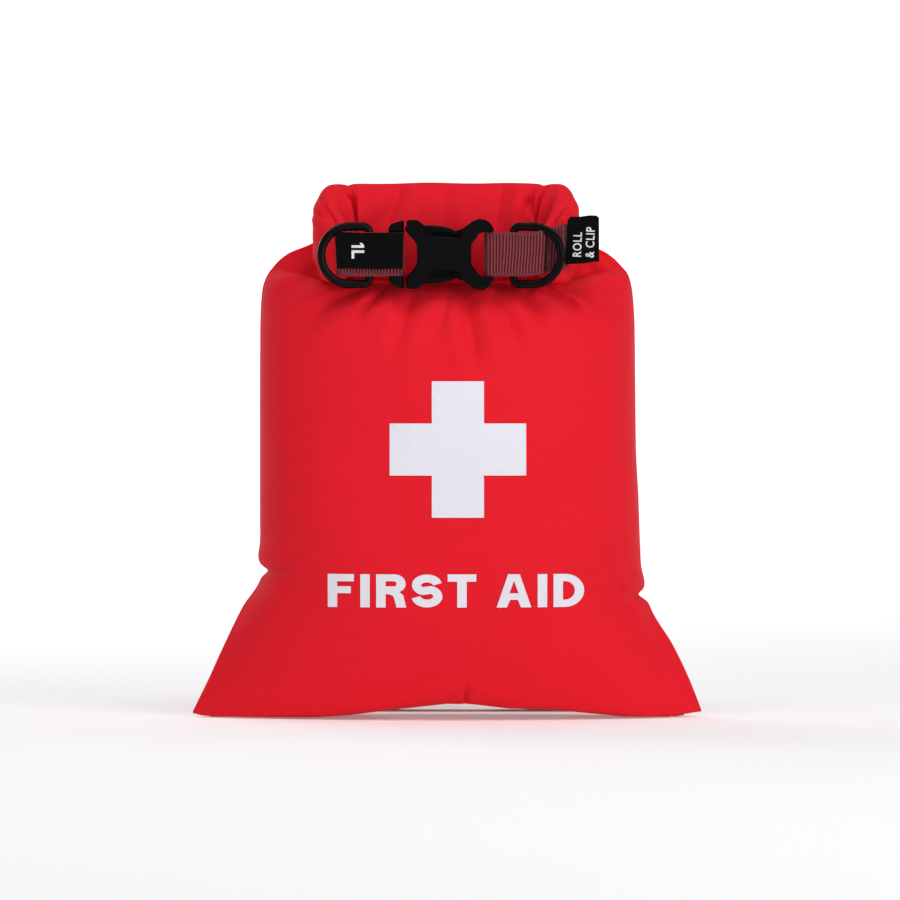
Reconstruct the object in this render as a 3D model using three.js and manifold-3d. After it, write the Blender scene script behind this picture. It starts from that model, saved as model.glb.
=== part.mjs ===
// A one-litre roll-top first aid dry bag, standing on its base with its supplies inside.
// Millimetres, +Z up, -Y is the printed front, origin on the base under the body.
import * as THREE from 'three';
import { mergeVertices } from 'three/addons/utils/BufferGeometryUtils.js';
import Module from 'manifold-3d';

const wasm = await Module();
wasm.setup();

// ---- driving dimensions ----
const WALL = 1.2; // panel thickness, fabric and coating together
const GAP = 0.3; // running gap kept between neighbouring solids
const SEAM_Y = 2.5; // plane of the side and bottom seams
const SEAM_HALF = 1.0; // half thickness of the body at its seam
const NECK_TOP = 173; // where the two neck layers meet the roll

const CLOSURE_X = -1.2; // the buckled loop sits a little left of the body's centre
const STRAP_Z = 154.2; // centre height of straps, rings and buckle
const STRAP_WIDTH = 14.6;
const STRAP_T = 1.2;
const BAR_Y = -31.3; // plane of the buckle's strap bars and of the rings' straight bars
const BAR_X = 14.9; // strap bars, each side of the buckle's centre
const BAR_R = 1.3;
const LOOP_R = BAR_R + GAP + STRAP_T / 2; // centre line of the webbing round a bar

const ROLL_Z = 161; // centre height of the rolled mouth
const ROLL_Y = -9.3; // centre plane of its middle stretch
const ROLL_HALF = 32; // half length of the middle stretch
const ARM_BEND = 6.3; // centre-line radius of each rolled end's turn
const ARM_TAIL = 3; // straight stretch after the turn

const RING_RISE = 9.2; // half height of a ring's centre line
const RING_FLAT = 7.3; // straight part of a ring's top and bottom
const RING_TILT = THREE.MathUtils.degToRad(8);

const BUCKLE_END = 17.3; // half length of the closed buckle
const BUCKLE_HALF = 11.2; // half height of its strap arms
const BUCKLE_T = 4.0; // half thickness of the socket
const MALE_T = 3.4; // half thickness of the plug's frame

// ---- materials ----
const finish = (color, roughness, metalness = 0) =>
  new THREE.MeshStandardMaterial({ color, roughness, metalness });
const redNylon = finish(0xdc2632, 0.55);
const maroonWebbing = finish(0x7c3a3e, 0.85);
const blackPlastic = finish(0x1b1b1d, 0.45);
const blackLabel = finish(0x0e0e10, 0.8);
const seamFilm = finish(0xd8d8dc, 0.4);
const stripNylon = finish(0x26262a, 0.8);
const goldFoil = finish(0xc9a24a, 0.25, 0.9);
const paper = finish(0xeef0f0, 0.7);
const cotton = finish(0xe6dcc8, 0.95);
const card = finish(0x3f8a5a, 0.6);
const blueFilm = finish(0x6fa7d8, 0.4);
const tapeCloth = finish(0xe9d9bd, 0.85);
const spoolPlastic = finish(0xf3f3f3, 0.4);

// ---- shape helpers ----
// Turns every triangle round if the closed surface faces inwards.
function faceOut(geometry) {
  const p = geometry.getAttribute('position');
  const index = geometry.index;
  const [a, b, c] = [new THREE.Vector3(), new THREE.Vector3(), new THREE.Vector3()];
  let volume = 0;
  for (let i = 0; i < index.count; i += 3) {
    a.fromBufferAttribute(p, index.getX(i));
    b.fromBufferAttribute(p, index.getX(i + 1));
    c.fromBufferAttribute(p, index.getX(i + 2));
    volume += a.dot(b.cross(c));
  }
  if (volume < 0) {
    for (let i = 0; i < index.count; i += 3) {
      const second = index.getX(i + 1);
      index.setX(i + 1, index.getX(i + 2));
      index.setX(i + 2, second);
    }
  }
  return geometry;
}

// Skins a row of rings of equal length. An open row is capped with the given flat outline.
function loft(rings, capOutline) {
  const n = rings[0].length;
  const positions = rings.flat().flatMap((v) => [v.x, v.y, v.z]);
  const index = [];
  const spans = capOutline ? rings.length - 1 : rings.length;
  for (let r = 0; r < spans; r++) {
    const [here, next] = [r * n, ((r + 1) % rings.length) * n];
    for (let i = 0; i < n; i++) {
      const j = (i + 1) % n;
      index.push(here + i, here + j, next + j, here + i, next + j, next + i);
    }
  }
  if (capOutline) {
    const last = (rings.length - 1) * n;
    for (const [i, j, k] of THREE.ShapeUtils.triangulateShape(capOutline, [])) {
      index.push(k, j, i);
      index.push(last + i, last + j, last + k);
    }
  }
  const geometry = new THREE.BufferGeometry();
  geometry.setAttribute('position', new THREE.Float32BufferAttribute(positions, 3));
  geometry.setIndex(index);
  return faceOut(geometry);
}

// Carries a flat section along frames, each with an origin and the section's two directions.
function sweep(section, frames, closed = false) {
  const rings = frames.map(({ origin, u, v }) =>
    section.map((s) => origin.clone().addScaledVector(u, s.x).addScaledVector(v, s.y)));
  return loft(rings, closed ? null : section);
}

// Frames along a plan curve: u points across the curve in plan, v points up.
function planFrames(points, z) {
  return points.map((p, i) => {
    const before = points[Math.max(i - 1, 0)];
    const after = points[Math.min(i + 1, points.length - 1)];
    const along = after.clone().sub(before).normalize();
    return {
      origin: new THREE.Vector3(p.x, p.y, z),
      u: new THREE.Vector3(-along.y, along.x, 0),
      v: new THREE.Vector3(0, 0, 1),
    };
  });
}

const rectangle = (width, height) =>
  [[-1, -1], [1, -1], [1, 1], [-1, 1]].map(([i, j]) => new THREE.Vector2((i * width) / 2, (j * height) / 2));

// Webbing that runs along a plan path, standing on its edge.
const ribbon = (path, thickness, width, z) =>
  sweep(rectangle(thickness, width), planFrames(path.getPoints(5), z));

function solid(geometry) {
  const bare = geometry.clone();
  for (const name of ['normal', 'uv']) bare.deleteAttribute(name);
  const merged = mergeVertices(bare, 1e-4);
  return new wasm.Manifold(new wasm.Mesh({
    numProp: 3,
    vertProperties: merged.getAttribute('position').array,
    triVerts: new Uint32Array(merged.index.array),
  }));
}

function geometryOf(manifold) {
  const made = manifold.getMesh();
  const geometry = new THREE.BufferGeometry();
  geometry.setAttribute('position', new THREE.BufferAttribute(made.vertProperties, 3));
  geometry.setIndex(new THREE.BufferAttribute(made.triVerts, 1));
  return geometry;
}

function block(x0, x1, y0, y1, z0, z1) {
  return new THREE.BoxGeometry(x1 - x0, y1 - y0, z1 - z0)
    .translate((x0 + x1) / 2, (y0 + y1) / 2, (z0 + z1) / 2);
}

// A flat outline in X and Z, given thickness along Y about y = 0.
function plate(shape, halfThickness) {
  return new THREE.ExtrudeGeometry(shape, {
    depth: 2 * halfThickness, bevelEnabled: false, curveSegments: 4,
  }).rotateX(Math.PI / 2).translate(0, halfThickness, 0);
}

function rod(radius, x, z0, z1) {
  return new THREE.CylinderGeometry(radius, radius, z1 - z0, 16)
    .rotateX(Math.PI / 2).translate(x, 0, (z0 + z1) / 2);
}

const root = new THREE.Group();
function add(group, name, geometry, material) {
  const mesh = new THREE.Mesh(geometry, material);
  mesh.name = name;
  group.add(mesh);
  return mesh;
}

// ---- the bag's body: front and back panels ----
// Height, half width, front depth, back depth, and how full the section is: 1 is a pointed lens.
const stations = [
  [0, 84.5, 21, 17, 1.0],
  [3, 85, 25, 20.5, 1.0],
  [12, 80.8, 30, 26, 0.92],
  [24, 75, 34, 30, 0.8],
  [36, 68.5, 37, 33, 0.65],
  [46, 62.2, 38.5, 34.5, 0.52],
  [56, 62.4, 39, 35, 0.45],
  [90, 62.6, 39, 35, 0.42],
  [118, 62.6, 38.5, 34.5, 0.42],
  [130, 62.5, 36, 33.5, 0.44],
  [137, 62.3, 30, 32.2, 0.47],
  [141, 61.9, 20, 31, 0.49],
  [143, 61.6, 10, 30, 0.5],
  [144, 61.4, 5, 29.5, 0.52],
  [146, 60.9, 1.6, 28.4, 0.55],
  [151, 57.5, 0.7, 23, 0.66],
  [155, 52.5, 0.7, 16, 0.8],
  [158.5, 44, 0.7, 7, 0.95],
  [161, 33, 0.7, 0.7, 1.0],
  [NECK_TOP, 33, 0.7, 0.7, 1.0],
];
const SECTION_STEPS = 16;
const SECTION_POWER = 2.5;

function sectionOutline(halfWidth, front, back, fullness, seamHalf) {
  const points = [];
  for (const [side, depth] of [[1, back], [-1, front]]) {
    for (let i = 0; i <= SECTION_STEPS; i++) {
      const c = Math.cos((Math.PI * i) / SECTION_STEPS) * side;
      const reach = depth * (1 - Math.abs(c) ** SECTION_POWER) ** fullness;
      points.push(new THREE.Vector2(halfWidth * c, SEAM_Y + side * (seamHalf + reach)));
    }
  }
  return points;
}

function bodyLoft(inner) {
  const rings = stations.map(([z, halfWidth, front, back, fullness]) => {
    if (!inner) {
      return sectionOutline(halfWidth, front, back, fullness, SEAM_HALF)
        .map((p) => new THREE.Vector3(p.x, p.y, z));
    }
    const pointed = Math.max(0, (fullness - 0.42) / 0.58);
    const lift = z < 10 ? WALL : z === NECK_TOP ? 1 : z > 125 ? -WALL : 0;
    const outline = sectionOutline(
      halfWidth - WALL - 5 * pointed, front - 0.4, back - 0.4, fullness, SEAM_HALF - 0.8);
    return outline.map((p) => new THREE.Vector3(p.x, p.y, z + lift));
  });
  return loft(rings, rings[0].map((v) => new THREE.Vector2(v.x, v.y)));
}

const shell = solid(bodyLoft(false)).subtract(solid(bodyLoft(true)));
const FAR = 120;
const SEAM_SPLIT = 0.15;
const frontHalf = solid(block(-FAR, FAR, -FAR, SEAM_Y - SEAM_SPLIT, -5, 200));
const backHalf = solid(block(-FAR, FAR, SEAM_Y + SEAM_SPLIT, FAR, -5, 200));
add(root, 'front_panel', geometryOf(shell.intersect(frontHalf)), redNylon);
add(root, 'back_panel', geometryOf(shell.intersect(backHalf)), redNylon);

// Tapes welded over the seams on the inside.
const TAPE_T = 0.4;
const tapeLift = WALL + GAP;
add(root, 'bottom_seam_tape', block(-60, 60, SEAM_Y - 4, SEAM_Y + 4, tapeLift, tapeLift + TAPE_T), seamFilm);
const sideTape = block(-TAPE_T / 2, TAPE_T / 2, SEAM_Y - 4, SEAM_Y + 4, 52, 132);
add(root, 'left_seam_tape', sideTape, seamFilm).position.x = -59.3;
add(root, 'right_seam_tape', sideTape.clone(), seamFilm).position.x = 59.3;

// ---- the supplies inside ----
const supplies = new THREE.Group();
root.add(supplies);

function roundedPack(width, depth, height, corner) {
  const [w, d] = [width / 2, depth / 2];
  const r = Math.min(corner, w, d);
  const shape = new THREE.Shape()
    .moveTo(-w + r, -d).lineTo(w - r, -d).absarc(w - r, -d + r, r, -Math.PI / 2, 0)
    .lineTo(w, d - r).absarc(w - r, d - r, r, 0, Math.PI / 2)
    .lineTo(-w + r, d).absarc(-w + r, d - r, r, Math.PI / 2, Math.PI)
    .lineTo(-w, -d + r).absarc(-w + r, -d + r, r, Math.PI, 1.5 * Math.PI);
  return new THREE.ExtrudeGeometry(shape, { depth: height, bevelEnabled: false, curveSegments: 3 })
    .translate(0, 0, -height / 2);
}

function packAt(name, material, [width, depth, height], [x, y, z], corner = 2) {
  add(supplies, name, roundedPack(width, depth, height, corner), material).position.set(x, y, z);
}

// A wound roll lying along X, with an open core.
function windingAt(name, material, [outer, core, length], [x, y, z]) {
  const profile = [[core, 0], [outer, 0], [outer, length], [core, length], [core, 0]]
    .map(([r, h]) => new THREE.Vector2(r, h - length / 2));
  const mesh = add(supplies, name, faceOut(mergeVertices(bareLathe(profile))), material);
  mesh.rotation.z = Math.PI / 2;
  mesh.position.set(x, y, z);
}

function bareLathe(profile) {
  const geometry = new THREE.LatheGeometry(profile, 28);
  for (const name of ['normal', 'uv']) geometry.deleteAttribute(name);
  return mergeVertices(geometry, 1e-4);
}

packAt('rescue_blanket', goldFoil, [80, 11, 70], [0, 21, 66], 4);
packAt('triangular_bandage', paper, [80, 6, 58], [0, 12, 88]);
windingAt('elastic_bandage_wide', cotton, [17, 3, 50], [-20, -6, 36]);
windingAt('elastic_bandage_narrow', cotton, [14, 3, 36], [30, -5, 33]);
packAt('plaster_box', card, [56, 17, 44], [-16, -18, 78], 1);
packAt('gauze_pack_upper', paper, [60, 4.2, 54], [-16, 1.5, 82]);
packAt('gauze_pack_lower', paper, [60, 4.2, 54], [-16, 6.5, 82]);
windingAt('adhesive_tape', tapeCloth, [17.5, 11, 18], [28, -9.2, 68]);
windingAt('tape_spool', spoolPlastic, [10.6, 9.2, 18.6], [28, -9.2, 68]);
packAt('glove_pack', blueFilm, [70, 40, 6], [0, 0, 124], 3);
for (const i of [0, 1, 2]) {
  packAt(`wipe_sachet_${i + 1}`, paper, [3, 26, 30], [20 + 5 * i, -9, 104]);
}

// ---- the rolled mouth ----
// A flat scroll: the doubled sheet comes up behind, goes over the top and winds in to the core.
const SCROLL_T = 1.2;
const SCROLL_PITCH = 1.6;
const SCROLL_CORE = 1.45;
const SCROLL_HALF_TURNS = 5;
const SCROLL_STRAIGHT = 11;
const SCROLL_TAIL = 12;
const ARC_STEPS = 4;

function scrollEdge(offset) {
  const points = [];
  let radius = 0;
  for (let half = 0; half < SCROLL_HALF_TURNS; half++) {
    const rise = half % 2 ? -SCROLL_STRAIGHT : SCROLL_STRAIGHT;
    for (let i = 0; i <= ARC_STEPS; i++) {
      const turn = half * Math.PI + (Math.PI * i) / ARC_STEPS;
      radius = SCROLL_CORE + (SCROLL_PITCH * turn) / (2 * Math.PI) + offset;
      points.push(new THREE.Vector2(-radius * Math.cos(turn), rise + radius * Math.sin(turn)));
    }
  }
  points.push(new THREE.Vector2(radius, SCROLL_STRAIGHT - SCROLL_TAIL));
  return points;
}
const scroll = [...scrollEdge(-SCROLL_T / 2), ...scrollEdge(SCROLL_T / 2).reverse()];
const strip = rectangle(1, 15);

const middle = [-ROLL_HALF, ROLL_HALF].map((x) => new THREE.Vector2(x + CLOSURE_X, ROLL_Y));
add(root, 'roll_middle', sweep(scroll, planFrames(middle, ROLL_Z)), redNylon);
add(root, 'mouth_strip_middle', sweep(strip, planFrames(middle, ROLL_Z)), stripNylon);

// Each rolled end turns forwards through half a circle and comes back behind its strap.
function armPath(side) {
  const start = ROLL_HALF + GAP + 0.1;
  const path = new THREE.Path().moveTo(start, ROLL_Y).lineTo(start + 1, ROLL_Y)
    .absarc(start + 1, ROLL_Y - ARM_BEND, ARM_BEND, Math.PI / 2, -Math.PI / 2, true)
    .lineTo(start + 1 - ARM_TAIL, ROLL_Y - 2 * ARM_BEND);
  return path.getPoints(6).map((p) => new THREE.Vector2(CLOSURE_X + side * p.x, p.y));
}

// ---- straps, rings and tags ----
const closure = new THREE.Group();
closure.position.set(CLOSURE_X, BAR_Y, STRAP_Z);
root.add(closure);

const FOLD_R = 0.9;
// Sewn flat to the rolled end, round the buckle's bar, back over the ring's bar and tucked in.
function strap(side, rootX, foldX) {
  const path = new THREE.Path();
  path.moveTo(rootX, LOOP_R);
  path.lineTo(BAR_X, LOOP_R);
  path.absarc(BAR_X, 0, LOOP_R, Math.PI / 2, 1.5 * Math.PI);
  path.lineTo(foldX, -LOOP_R);
  path.absarc(foldX, FOLD_R - LOOP_R, FOLD_R, -Math.PI / 2, Math.PI / 6);
  const points = path.getPoints(5).map((p) => new THREE.Vector2(side * p.x, p.y));
  return sweep(rectangle(STRAP_T, STRAP_WIDTH), planFrames(points, 0));
}

function dRing(side) {
  const reach = RING_RISE;
  const outline = new THREE.Path();
  const corner = 2.2;
  outline.moveTo(0, -RING_RISE + corner);
  outline.lineTo(0, RING_RISE - corner);
  outline.absarc(corner, RING_RISE - corner, corner, Math.PI, Math.PI / 2, true);
  outline.lineTo(RING_FLAT, RING_RISE);
  outline.absarc(RING_FLAT, 0, reach, Math.PI / 2, -Math.PI / 2, true);
  outline.lineTo(corner, -RING_RISE);
  outline.absarc(corner, -RING_RISE + corner, corner, -Math.PI / 2, -Math.PI, true);
  const line = outline.getPoints(5);
  if (line[0].distanceTo(line.at(-1)) < 1e-3) line.pop();
  const out = new THREE.Vector3(side * Math.cos(RING_TILT), -Math.sin(RING_TILT), 0);
  const thick = new THREE.Vector3(-out.y, out.x, 0);
  const wire = Array.from({ length: 10 }, (_, i) => {
    const t = (2 * Math.PI * i) / 10;
    return new THREE.Vector2(1.5 * Math.cos(t), 1.3 * Math.sin(t));
  });
  const frames = line.map((p, i) => {
    const along = line[(i + 1) % line.length].clone()
      .sub(line[(i + line.length - 1) % line.length]).normalize();
    return {
      origin: out.clone().multiplyScalar(p.x).setZ(p.y),
      u: out.clone().multiplyScalar(-along.y).setZ(along.x),
      v: thick,
    };
  });
  return sweep(wire, frames, true);
}

for (const [side, word, rootX, foldX, ringX] of [
  [-1, 'left', 37.5, 31.9, 24.8], [1, 'right', 40.5, 30.1, 22.9],
]) {
  const frames = planFrames(armPath(side), ROLL_Z);
  add(root, `roll_${word}_end`, sweep(scroll, frames), redNylon);
  add(root, `mouth_strip_${word}`, sweep(strip, frames), stripNylon);
  add(closure, `${word}_strap`, strap(side, rootX, foldX), maroonWebbing);
  add(closure, `${word}_d_ring`, dRing(side), blackPlastic).position.x = side * ringX;
}

const LABEL_T = 0.4;
add(closure, 'size_label', block(-33.2, -15, -LABEL_T, 0, -5.4, 7.1), blackLabel)
  .position.y = -LOOP_R - STRAP_T / 2 - GAP;

// A woven label folded over on itself and held at the strap's root.
const tagPath = new THREE.Path().moveTo(41.2, 1.6).lineTo(50.6, 1.6)
  .absarc(50.6, 2.3, 0.7, -Math.PI / 2, Math.PI / 2).lineTo(41.2, 3);
add(closure, 'side_tag', ribbon(tagPath, 0.7, 15.5, 4.6), blackLabel);

// ---- the side-release buckle ----
const buckle = closure;

// Frame of a strap end: two arms with round outer corners, without the bar between them.
function strapArms(from, halfThickness) {
  const arm = new THREE.Shape()
    .moveTo(from, STRAP_WIDTH / 2 + GAP)
    .lineTo(BUCKLE_END - 1.2, STRAP_WIDTH / 2 + GAP)
    .absarc(BUCKLE_END - 1.2, BUCKLE_HALF - 2.4, 1.2, -Math.PI / 2, 0)
    .absarc(BUCKLE_END - 2.4, BUCKLE_HALF - 2.4, 2.4, 0, Math.PI / 2)
    .lineTo(from, BUCKLE_HALF);
  const upper = solid(plate(arm, halfThickness));
  return upper.add(upper.mirror([0, 0, 1]));
}
const bar = solid(rod(BAR_R, BAR_X, -BUCKLE_HALF + 1, BUCKLE_HALF - 1));

const maleEnd = strapArms(11.9, MALE_T).add(bar).mirror([1, 0, 0]);
add(buckle, 'buckle_plug_frame', geometryOf(maleEnd), blackPlastic);

// Hourglass housing: open mouth at the left, waist that bares the prongs, strap slot at the right.
function socketOutline() {
  const half = [
    [-11.5, 6.8], [-11.5, 11], [-8.3, 11], [-7.9, 9.4], [-6.2, 8.4], [-3.6, 6.7], [0.6, 6.1],
    [4.4, 7.2],
    [7.4, 10.2], [9.6, BUCKLE_HALF], [13, BUCKLE_HALF], [13, STRAP_WIDTH / 2 + GAP],
    [11.6, STRAP_WIDTH / 2 + GAP], [9.1, 5.2],
  ].map(([x, z]) => new THREE.Vector2(x, z));
  const mouth = [[-9.6, 4.8], [-8.4, 2.2], [-8.1, 0]].map(([x, z]) => new THREE.Vector2(x, z));
  const lower = (points) => points.map((p) => new THREE.Vector2(p.x, -p.y)).reverse();
  return new THREE.Shape([
    ...mouth.slice().reverse(), ...half, ...lower(half), ...lower(mouth.slice(0, 2)),
  ]);
}
const socketRoom = solid(block(-14, 6.5, -1.95, 1.95, -9.6, 9.6));
const socket = solid(plate(socketOutline(), BUCKLE_T))
  .add(strapArms(9.6, BUCKLE_T)).add(bar).subtract(socketRoom);
add(buckle, 'buckle_socket', geometryOf(socket), blackPlastic);

// One spring prong: a slim root, a domed push pad in the waist and a bevelled tip.
function prong() {
  const shape = new THREE.Shape()
    .moveTo(-11.5, 7.5).lineTo(-7.6, 6.6).lineTo(-4, 4.6).lineTo(4.6, 4.3)
    .lineTo(5.6, 5).lineTo(5.2, 6.6).quadraticCurveTo(2.5, 9.1, -1.4, 9.7)
    .lineTo(-7.4, 10.1).lineTo(-7.5, 8.8).lineTo(-11.5, 9.2);
  return plate(shape, 1.6);
}
add(buckle, 'buckle_upper_prong', prong(), blackPlastic);
add(buckle, 'buckle_lower_prong', prong(), blackPlastic).rotation.x = Math.PI;

export default root;
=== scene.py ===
# Looks for a one-litre roll-top first aid dry bag: stuffed fabric body, rolled mouth, buckled straps.
import math

import bmesh
import bpy
import numpy as np
from mathutils import Matrix, Vector
from mathutils.bvhtree import BVHTree


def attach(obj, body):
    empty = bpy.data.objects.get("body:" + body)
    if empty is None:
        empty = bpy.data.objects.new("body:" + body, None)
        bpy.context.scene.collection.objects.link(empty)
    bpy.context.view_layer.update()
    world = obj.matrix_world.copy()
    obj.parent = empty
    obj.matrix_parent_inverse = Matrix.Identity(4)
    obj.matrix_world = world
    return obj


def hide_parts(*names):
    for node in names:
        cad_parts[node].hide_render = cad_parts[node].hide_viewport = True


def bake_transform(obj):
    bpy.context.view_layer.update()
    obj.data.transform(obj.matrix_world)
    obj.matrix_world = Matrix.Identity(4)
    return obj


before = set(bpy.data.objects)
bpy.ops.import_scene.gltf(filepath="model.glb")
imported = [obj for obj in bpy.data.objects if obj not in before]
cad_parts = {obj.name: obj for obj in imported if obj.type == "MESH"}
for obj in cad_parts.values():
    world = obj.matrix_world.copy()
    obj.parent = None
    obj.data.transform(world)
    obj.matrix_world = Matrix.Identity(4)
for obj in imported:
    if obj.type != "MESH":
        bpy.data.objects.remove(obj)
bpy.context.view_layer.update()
MM = 0.001

# ---------------------------------------------------------------- camera, light, floor
camera = bpy.data.objects.new("camera", bpy.data.cameras.new("camera"))
bpy.context.collection.objects.link(camera)
bpy.context.scene.camera = camera
ELEVATION = math.radians(0.8)
DISTANCE = 2.4
SENSOR, FRAME_WIDTH = 36, 0.300  # millimetres on the sensor, metres seen at the bag
camera.data.sensor_width = SENSOR
camera.data.lens = SENSOR * DISTANCE / FRAME_WIDTH
camera.data.clip_start = 0.05
camera.data.clip_end = 30
target = Vector((0.0007, -0.012, 0.0893))
back = Vector((0, -math.cos(ELEVATION), math.sin(ELEVATION)))
camera.location = target + back * DISTANCE
camera.rotation_euler = back.to_track_quat("Z", "Y").to_euler()


def area_light(name, place, size, power, aim=(0, 0, 0.09)):
    data = bpy.data.lights.new(name, "AREA")
    data.shape = "RECTANGLE"
    data.size, data.size_y = size
    data.energy = power
    lamp = bpy.data.objects.new(name, data)
    bpy.context.collection.objects.link(lamp)
    lamp.location = place
    lamp.visible_camera = False
    lamp.rotation_euler = (Vector(place) - Vector(aim)).to_track_quat("Z", "Y").to_euler()


area_light("key", (0.95, -1.25, 0.50), (0.9, 0.9), 10.3)
area_light("fill", (-1.15, -1.3, 0.35), (1.2, 1.2), 3.4)
area_light("top", (0.0, -0.62, 1.25), (1.0, 0.5), 7.6)
area_light("backdrop", (0.0, 1.6, 2.2), (4.0, 1.0), 70, aim=(0.0, 3.4, 0.3))
area_light("rim", (-0.7, 1.0, 0.7), (0.8, 0.8), 3)

world = bpy.data.worlds.new("studio")
bpy.context.scene.world = world
world.use_nodes = True
world.node_tree.nodes["Background"].inputs["Color"].default_value = (0.95, 0.96, 1.0, 1)
world.node_tree.nodes["Background"].inputs["Strength"].default_value = 0.18
bpy.context.scene.view_settings.view_transform = "Standard"


# ---------------------------------------------------------------- materials
class Shade:
    """One procedural material: a Principled shader and the nodes that feed it."""

    def __init__(self, name, color, roughness, **sockets):
        self.material = bpy.data.materials.new(name)
        self.material.use_nodes = True
        self.tree = self.material.node_tree
        self.shader = self.tree.nodes["Principled BSDF"]
        self.shader.inputs["Base Color"].default_value = (*color, 1)
        self.shader.inputs["Roughness"].default_value = roughness
        for socket, value in sockets.items():
            self.shader.inputs[socket.replace("_", " ")].default_value = value
        self.height = None

    def node(self, kind, **values):
        made = self.tree.nodes.new(kind)
        for key, value in values.items():
            if key in made.inputs:
                made.inputs[key].default_value = value
            else:
                setattr(made, key, value)
        return made

    def link(self, a, b):
        self.tree.links.new(a, b)

    def place(self, scale=(1, 1, 1), uv=False):
        where = self.node("ShaderNodeTexCoord").outputs["UV" if uv else "Object"]
        mapping = self.node("ShaderNodeMapping")
        mapping.inputs["Scale"].default_value = scale
        self.link(where, mapping.inputs["Vector"])
        return mapping.outputs["Vector"]

    def noise(self, scale, detail=3.0, stretch=(1, 1, 1), uv=False):
        made = self.node("ShaderNodeTexNoise", Scale=scale, Detail=detail)
        self.link(self.place(stretch, uv), made.inputs["Vector"])
        return made.outputs["Fac"]

    def wave(self, scale, direction, uv=False):
        made = self.node("ShaderNodeTexWave", Scale=scale, Distortion=0.0)
        made.bands_direction = direction
        self.link(self.place(uv=uv), made.inputs["Vector"])
        return made.outputs["Fac"]

    def math(self, operation, a, b):
        made = self.node("ShaderNodeMath", operation=operation)
        for socket, value in zip(made.inputs, (a, b)):
            if isinstance(value, (int, float)):
                socket.default_value = value
            else:
                self.link(value, socket)
        return made.outputs[0]

    def vary(self, fac, low, high, start=0.3, stop=0.7):
        ramp = self.node("ShaderNodeValToRGB")
        ramp.color_ramp.elements[0].position = start
        ramp.color_ramp.elements[1].position = stop
        ramp.color_ramp.elements[0].color = (*low, 1)
        ramp.color_ramp.elements[1].color = (*high, 1)
        self.link(fac, ramp.inputs["Fac"])
        self.link(ramp.outputs["Color"], self.shader.inputs["Base Color"])

    def roughen(self, fac, low, high):
        made = self.node("ShaderNodeMapRange")
        made.inputs["To Min"].default_value = low
        made.inputs["To Max"].default_value = high
        self.link(fac, made.inputs["Value"])
        self.link(made.outputs["Result"], self.shader.inputs["Roughness"])

    def bump(self, fac, depth, strength=1.0):
        made = self.node("ShaderNodeBump", Strength=strength, Distance=depth)
        self.link(fac, made.inputs["Height"])
        if self.height:
            self.link(self.height.outputs["Normal"], made.inputs["Normal"])
        self.link(made.outputs["Normal"], self.shader.inputs["Normal"])
        self.height = made


def fabric(name, low, high, sheen, roughness):
    """Coated plain weave: fine crosswise picks with heavier ones between, over soft mottling."""
    shade = Shade(name, high, roughness, Sheen_Weight=sheen, Sheen_Roughness=0.45, Specular_IOR_Level=0.05)
    slub = shade.noise(480, 2, (0.15, 2.6, 1), uv=True)
    mottle = shade.noise(45, 3)
    shade.vary(shade.math("ADD", shade.math("MULTIPLY", slub, 0.6), shade.math("MULTIPLY", mottle, 0.4)), low, high)
    picks = shade.wave(790, "Y", uv=True)
    ends = shade.wave(790, "X", uv=True)
    shade.roughen(slub, roughness - 0.08, roughness + 0.08)
    shade.bump(shade.math("MULTIPLY", picks, ends), 0.00004, 0.4)
    shade.bump(slub, 0.00010, 0.55)
    shade.bump(shade.noise(260, 2, (2.4, 0.1, 1), uv=True), 0.00008, 0.25)
    return shade.material


def plastic(name, color, roughness):
    """Moulded plastic with a fine grain and uneven gloss."""
    shade = Shade(name, color, roughness, Specular_IOR_Level=0.09)
    shade.roughen(shade.noise(180, 3), roughness - 0.07, roughness + 0.1)
    shade.bump(shade.noise(2600, 2), 0.00001, 0.6)
    return shade.material


def weave(name, low, high, pitch, sheen=0.1, specular=0.3):
    """Fine thread weave, for labels, lettering and stitching."""
    shade = Shade(name, high, 0.85, Sheen_Weight=sheen, Sheen_Roughness=0.6, Specular_IOR_Level=specular)
    cross = shade.math("MULTIPLY", shade.wave(pitch, "X"), shade.wave(pitch, "Z"))
    shade.vary(shade.math("ADD", shade.math("MULTIPLY", cross, 0.5), shade.noise(900, 3)),
               low, high, 0.35, 1.0)
    shade.bump(cross, 0.00008, 0.8)
    shade.bump(shade.noise(1500, 2), 0.00008, 0.4)
    return shade.material


RED = fabric("red_nylon", (0.695, 0.0110, 0.0215), (0.735, 0.0125, 0.0240), 0.01, 0.64)
PRINT = fabric("white_print", (0.70, 0.69, 0.76), (0.75, 0.74, 0.80), 0.02, 0.6)
BLACK = plastic("black_acetal", (0.0014, 0.0014, 0.0018), 0.31)
LABEL = weave("black_label", (0.0010, 0.0010, 0.0012), (0.0032, 0.0030, 0.0036), 900, sheen=0.0, specular=0.08)
THREAD = weave("white_thread", (0.60, 0.60, 0.63), (0.85, 0.85, 0.88), 1400)


def ribbed(name):
    """Webbing: painted shade darkens the ground between the ribs and a painted highlight makes the crest of each rib
    paler, over real thread mottling.
    """
    shade = Shade(name, (0.2, 0.05, 0.06), 0.8, Sheen_Weight=0.04, Sheen_Roughness=0.5, Specular_IOR_Level=0.15)
    # the crest value paints each rib's top lighter as a highlight and its grooves darker as shade; the thread noise is
    # real mottling
    crest = shade.node("ShaderNodeAttribute", attribute_name="rib_painted_light").outputs["Fac"]
    threads = shade.noise(2600, 2)
    fac = shade.math("ADD", shade.math("MULTIPLY", crest, 0.75), shade.math("MULTIPLY", threads, 0.45))
    shade.vary(fac, (0.020, 0.0035, 0.0052), (0.32, 0.050, 0.068), 0.20, 1.15)
    shade.bump(shade.wave(640, "Z"), 0.00012, 0.5)
    shade.bump(threads, 0.0001, 0.5)
    return shade.material


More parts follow.
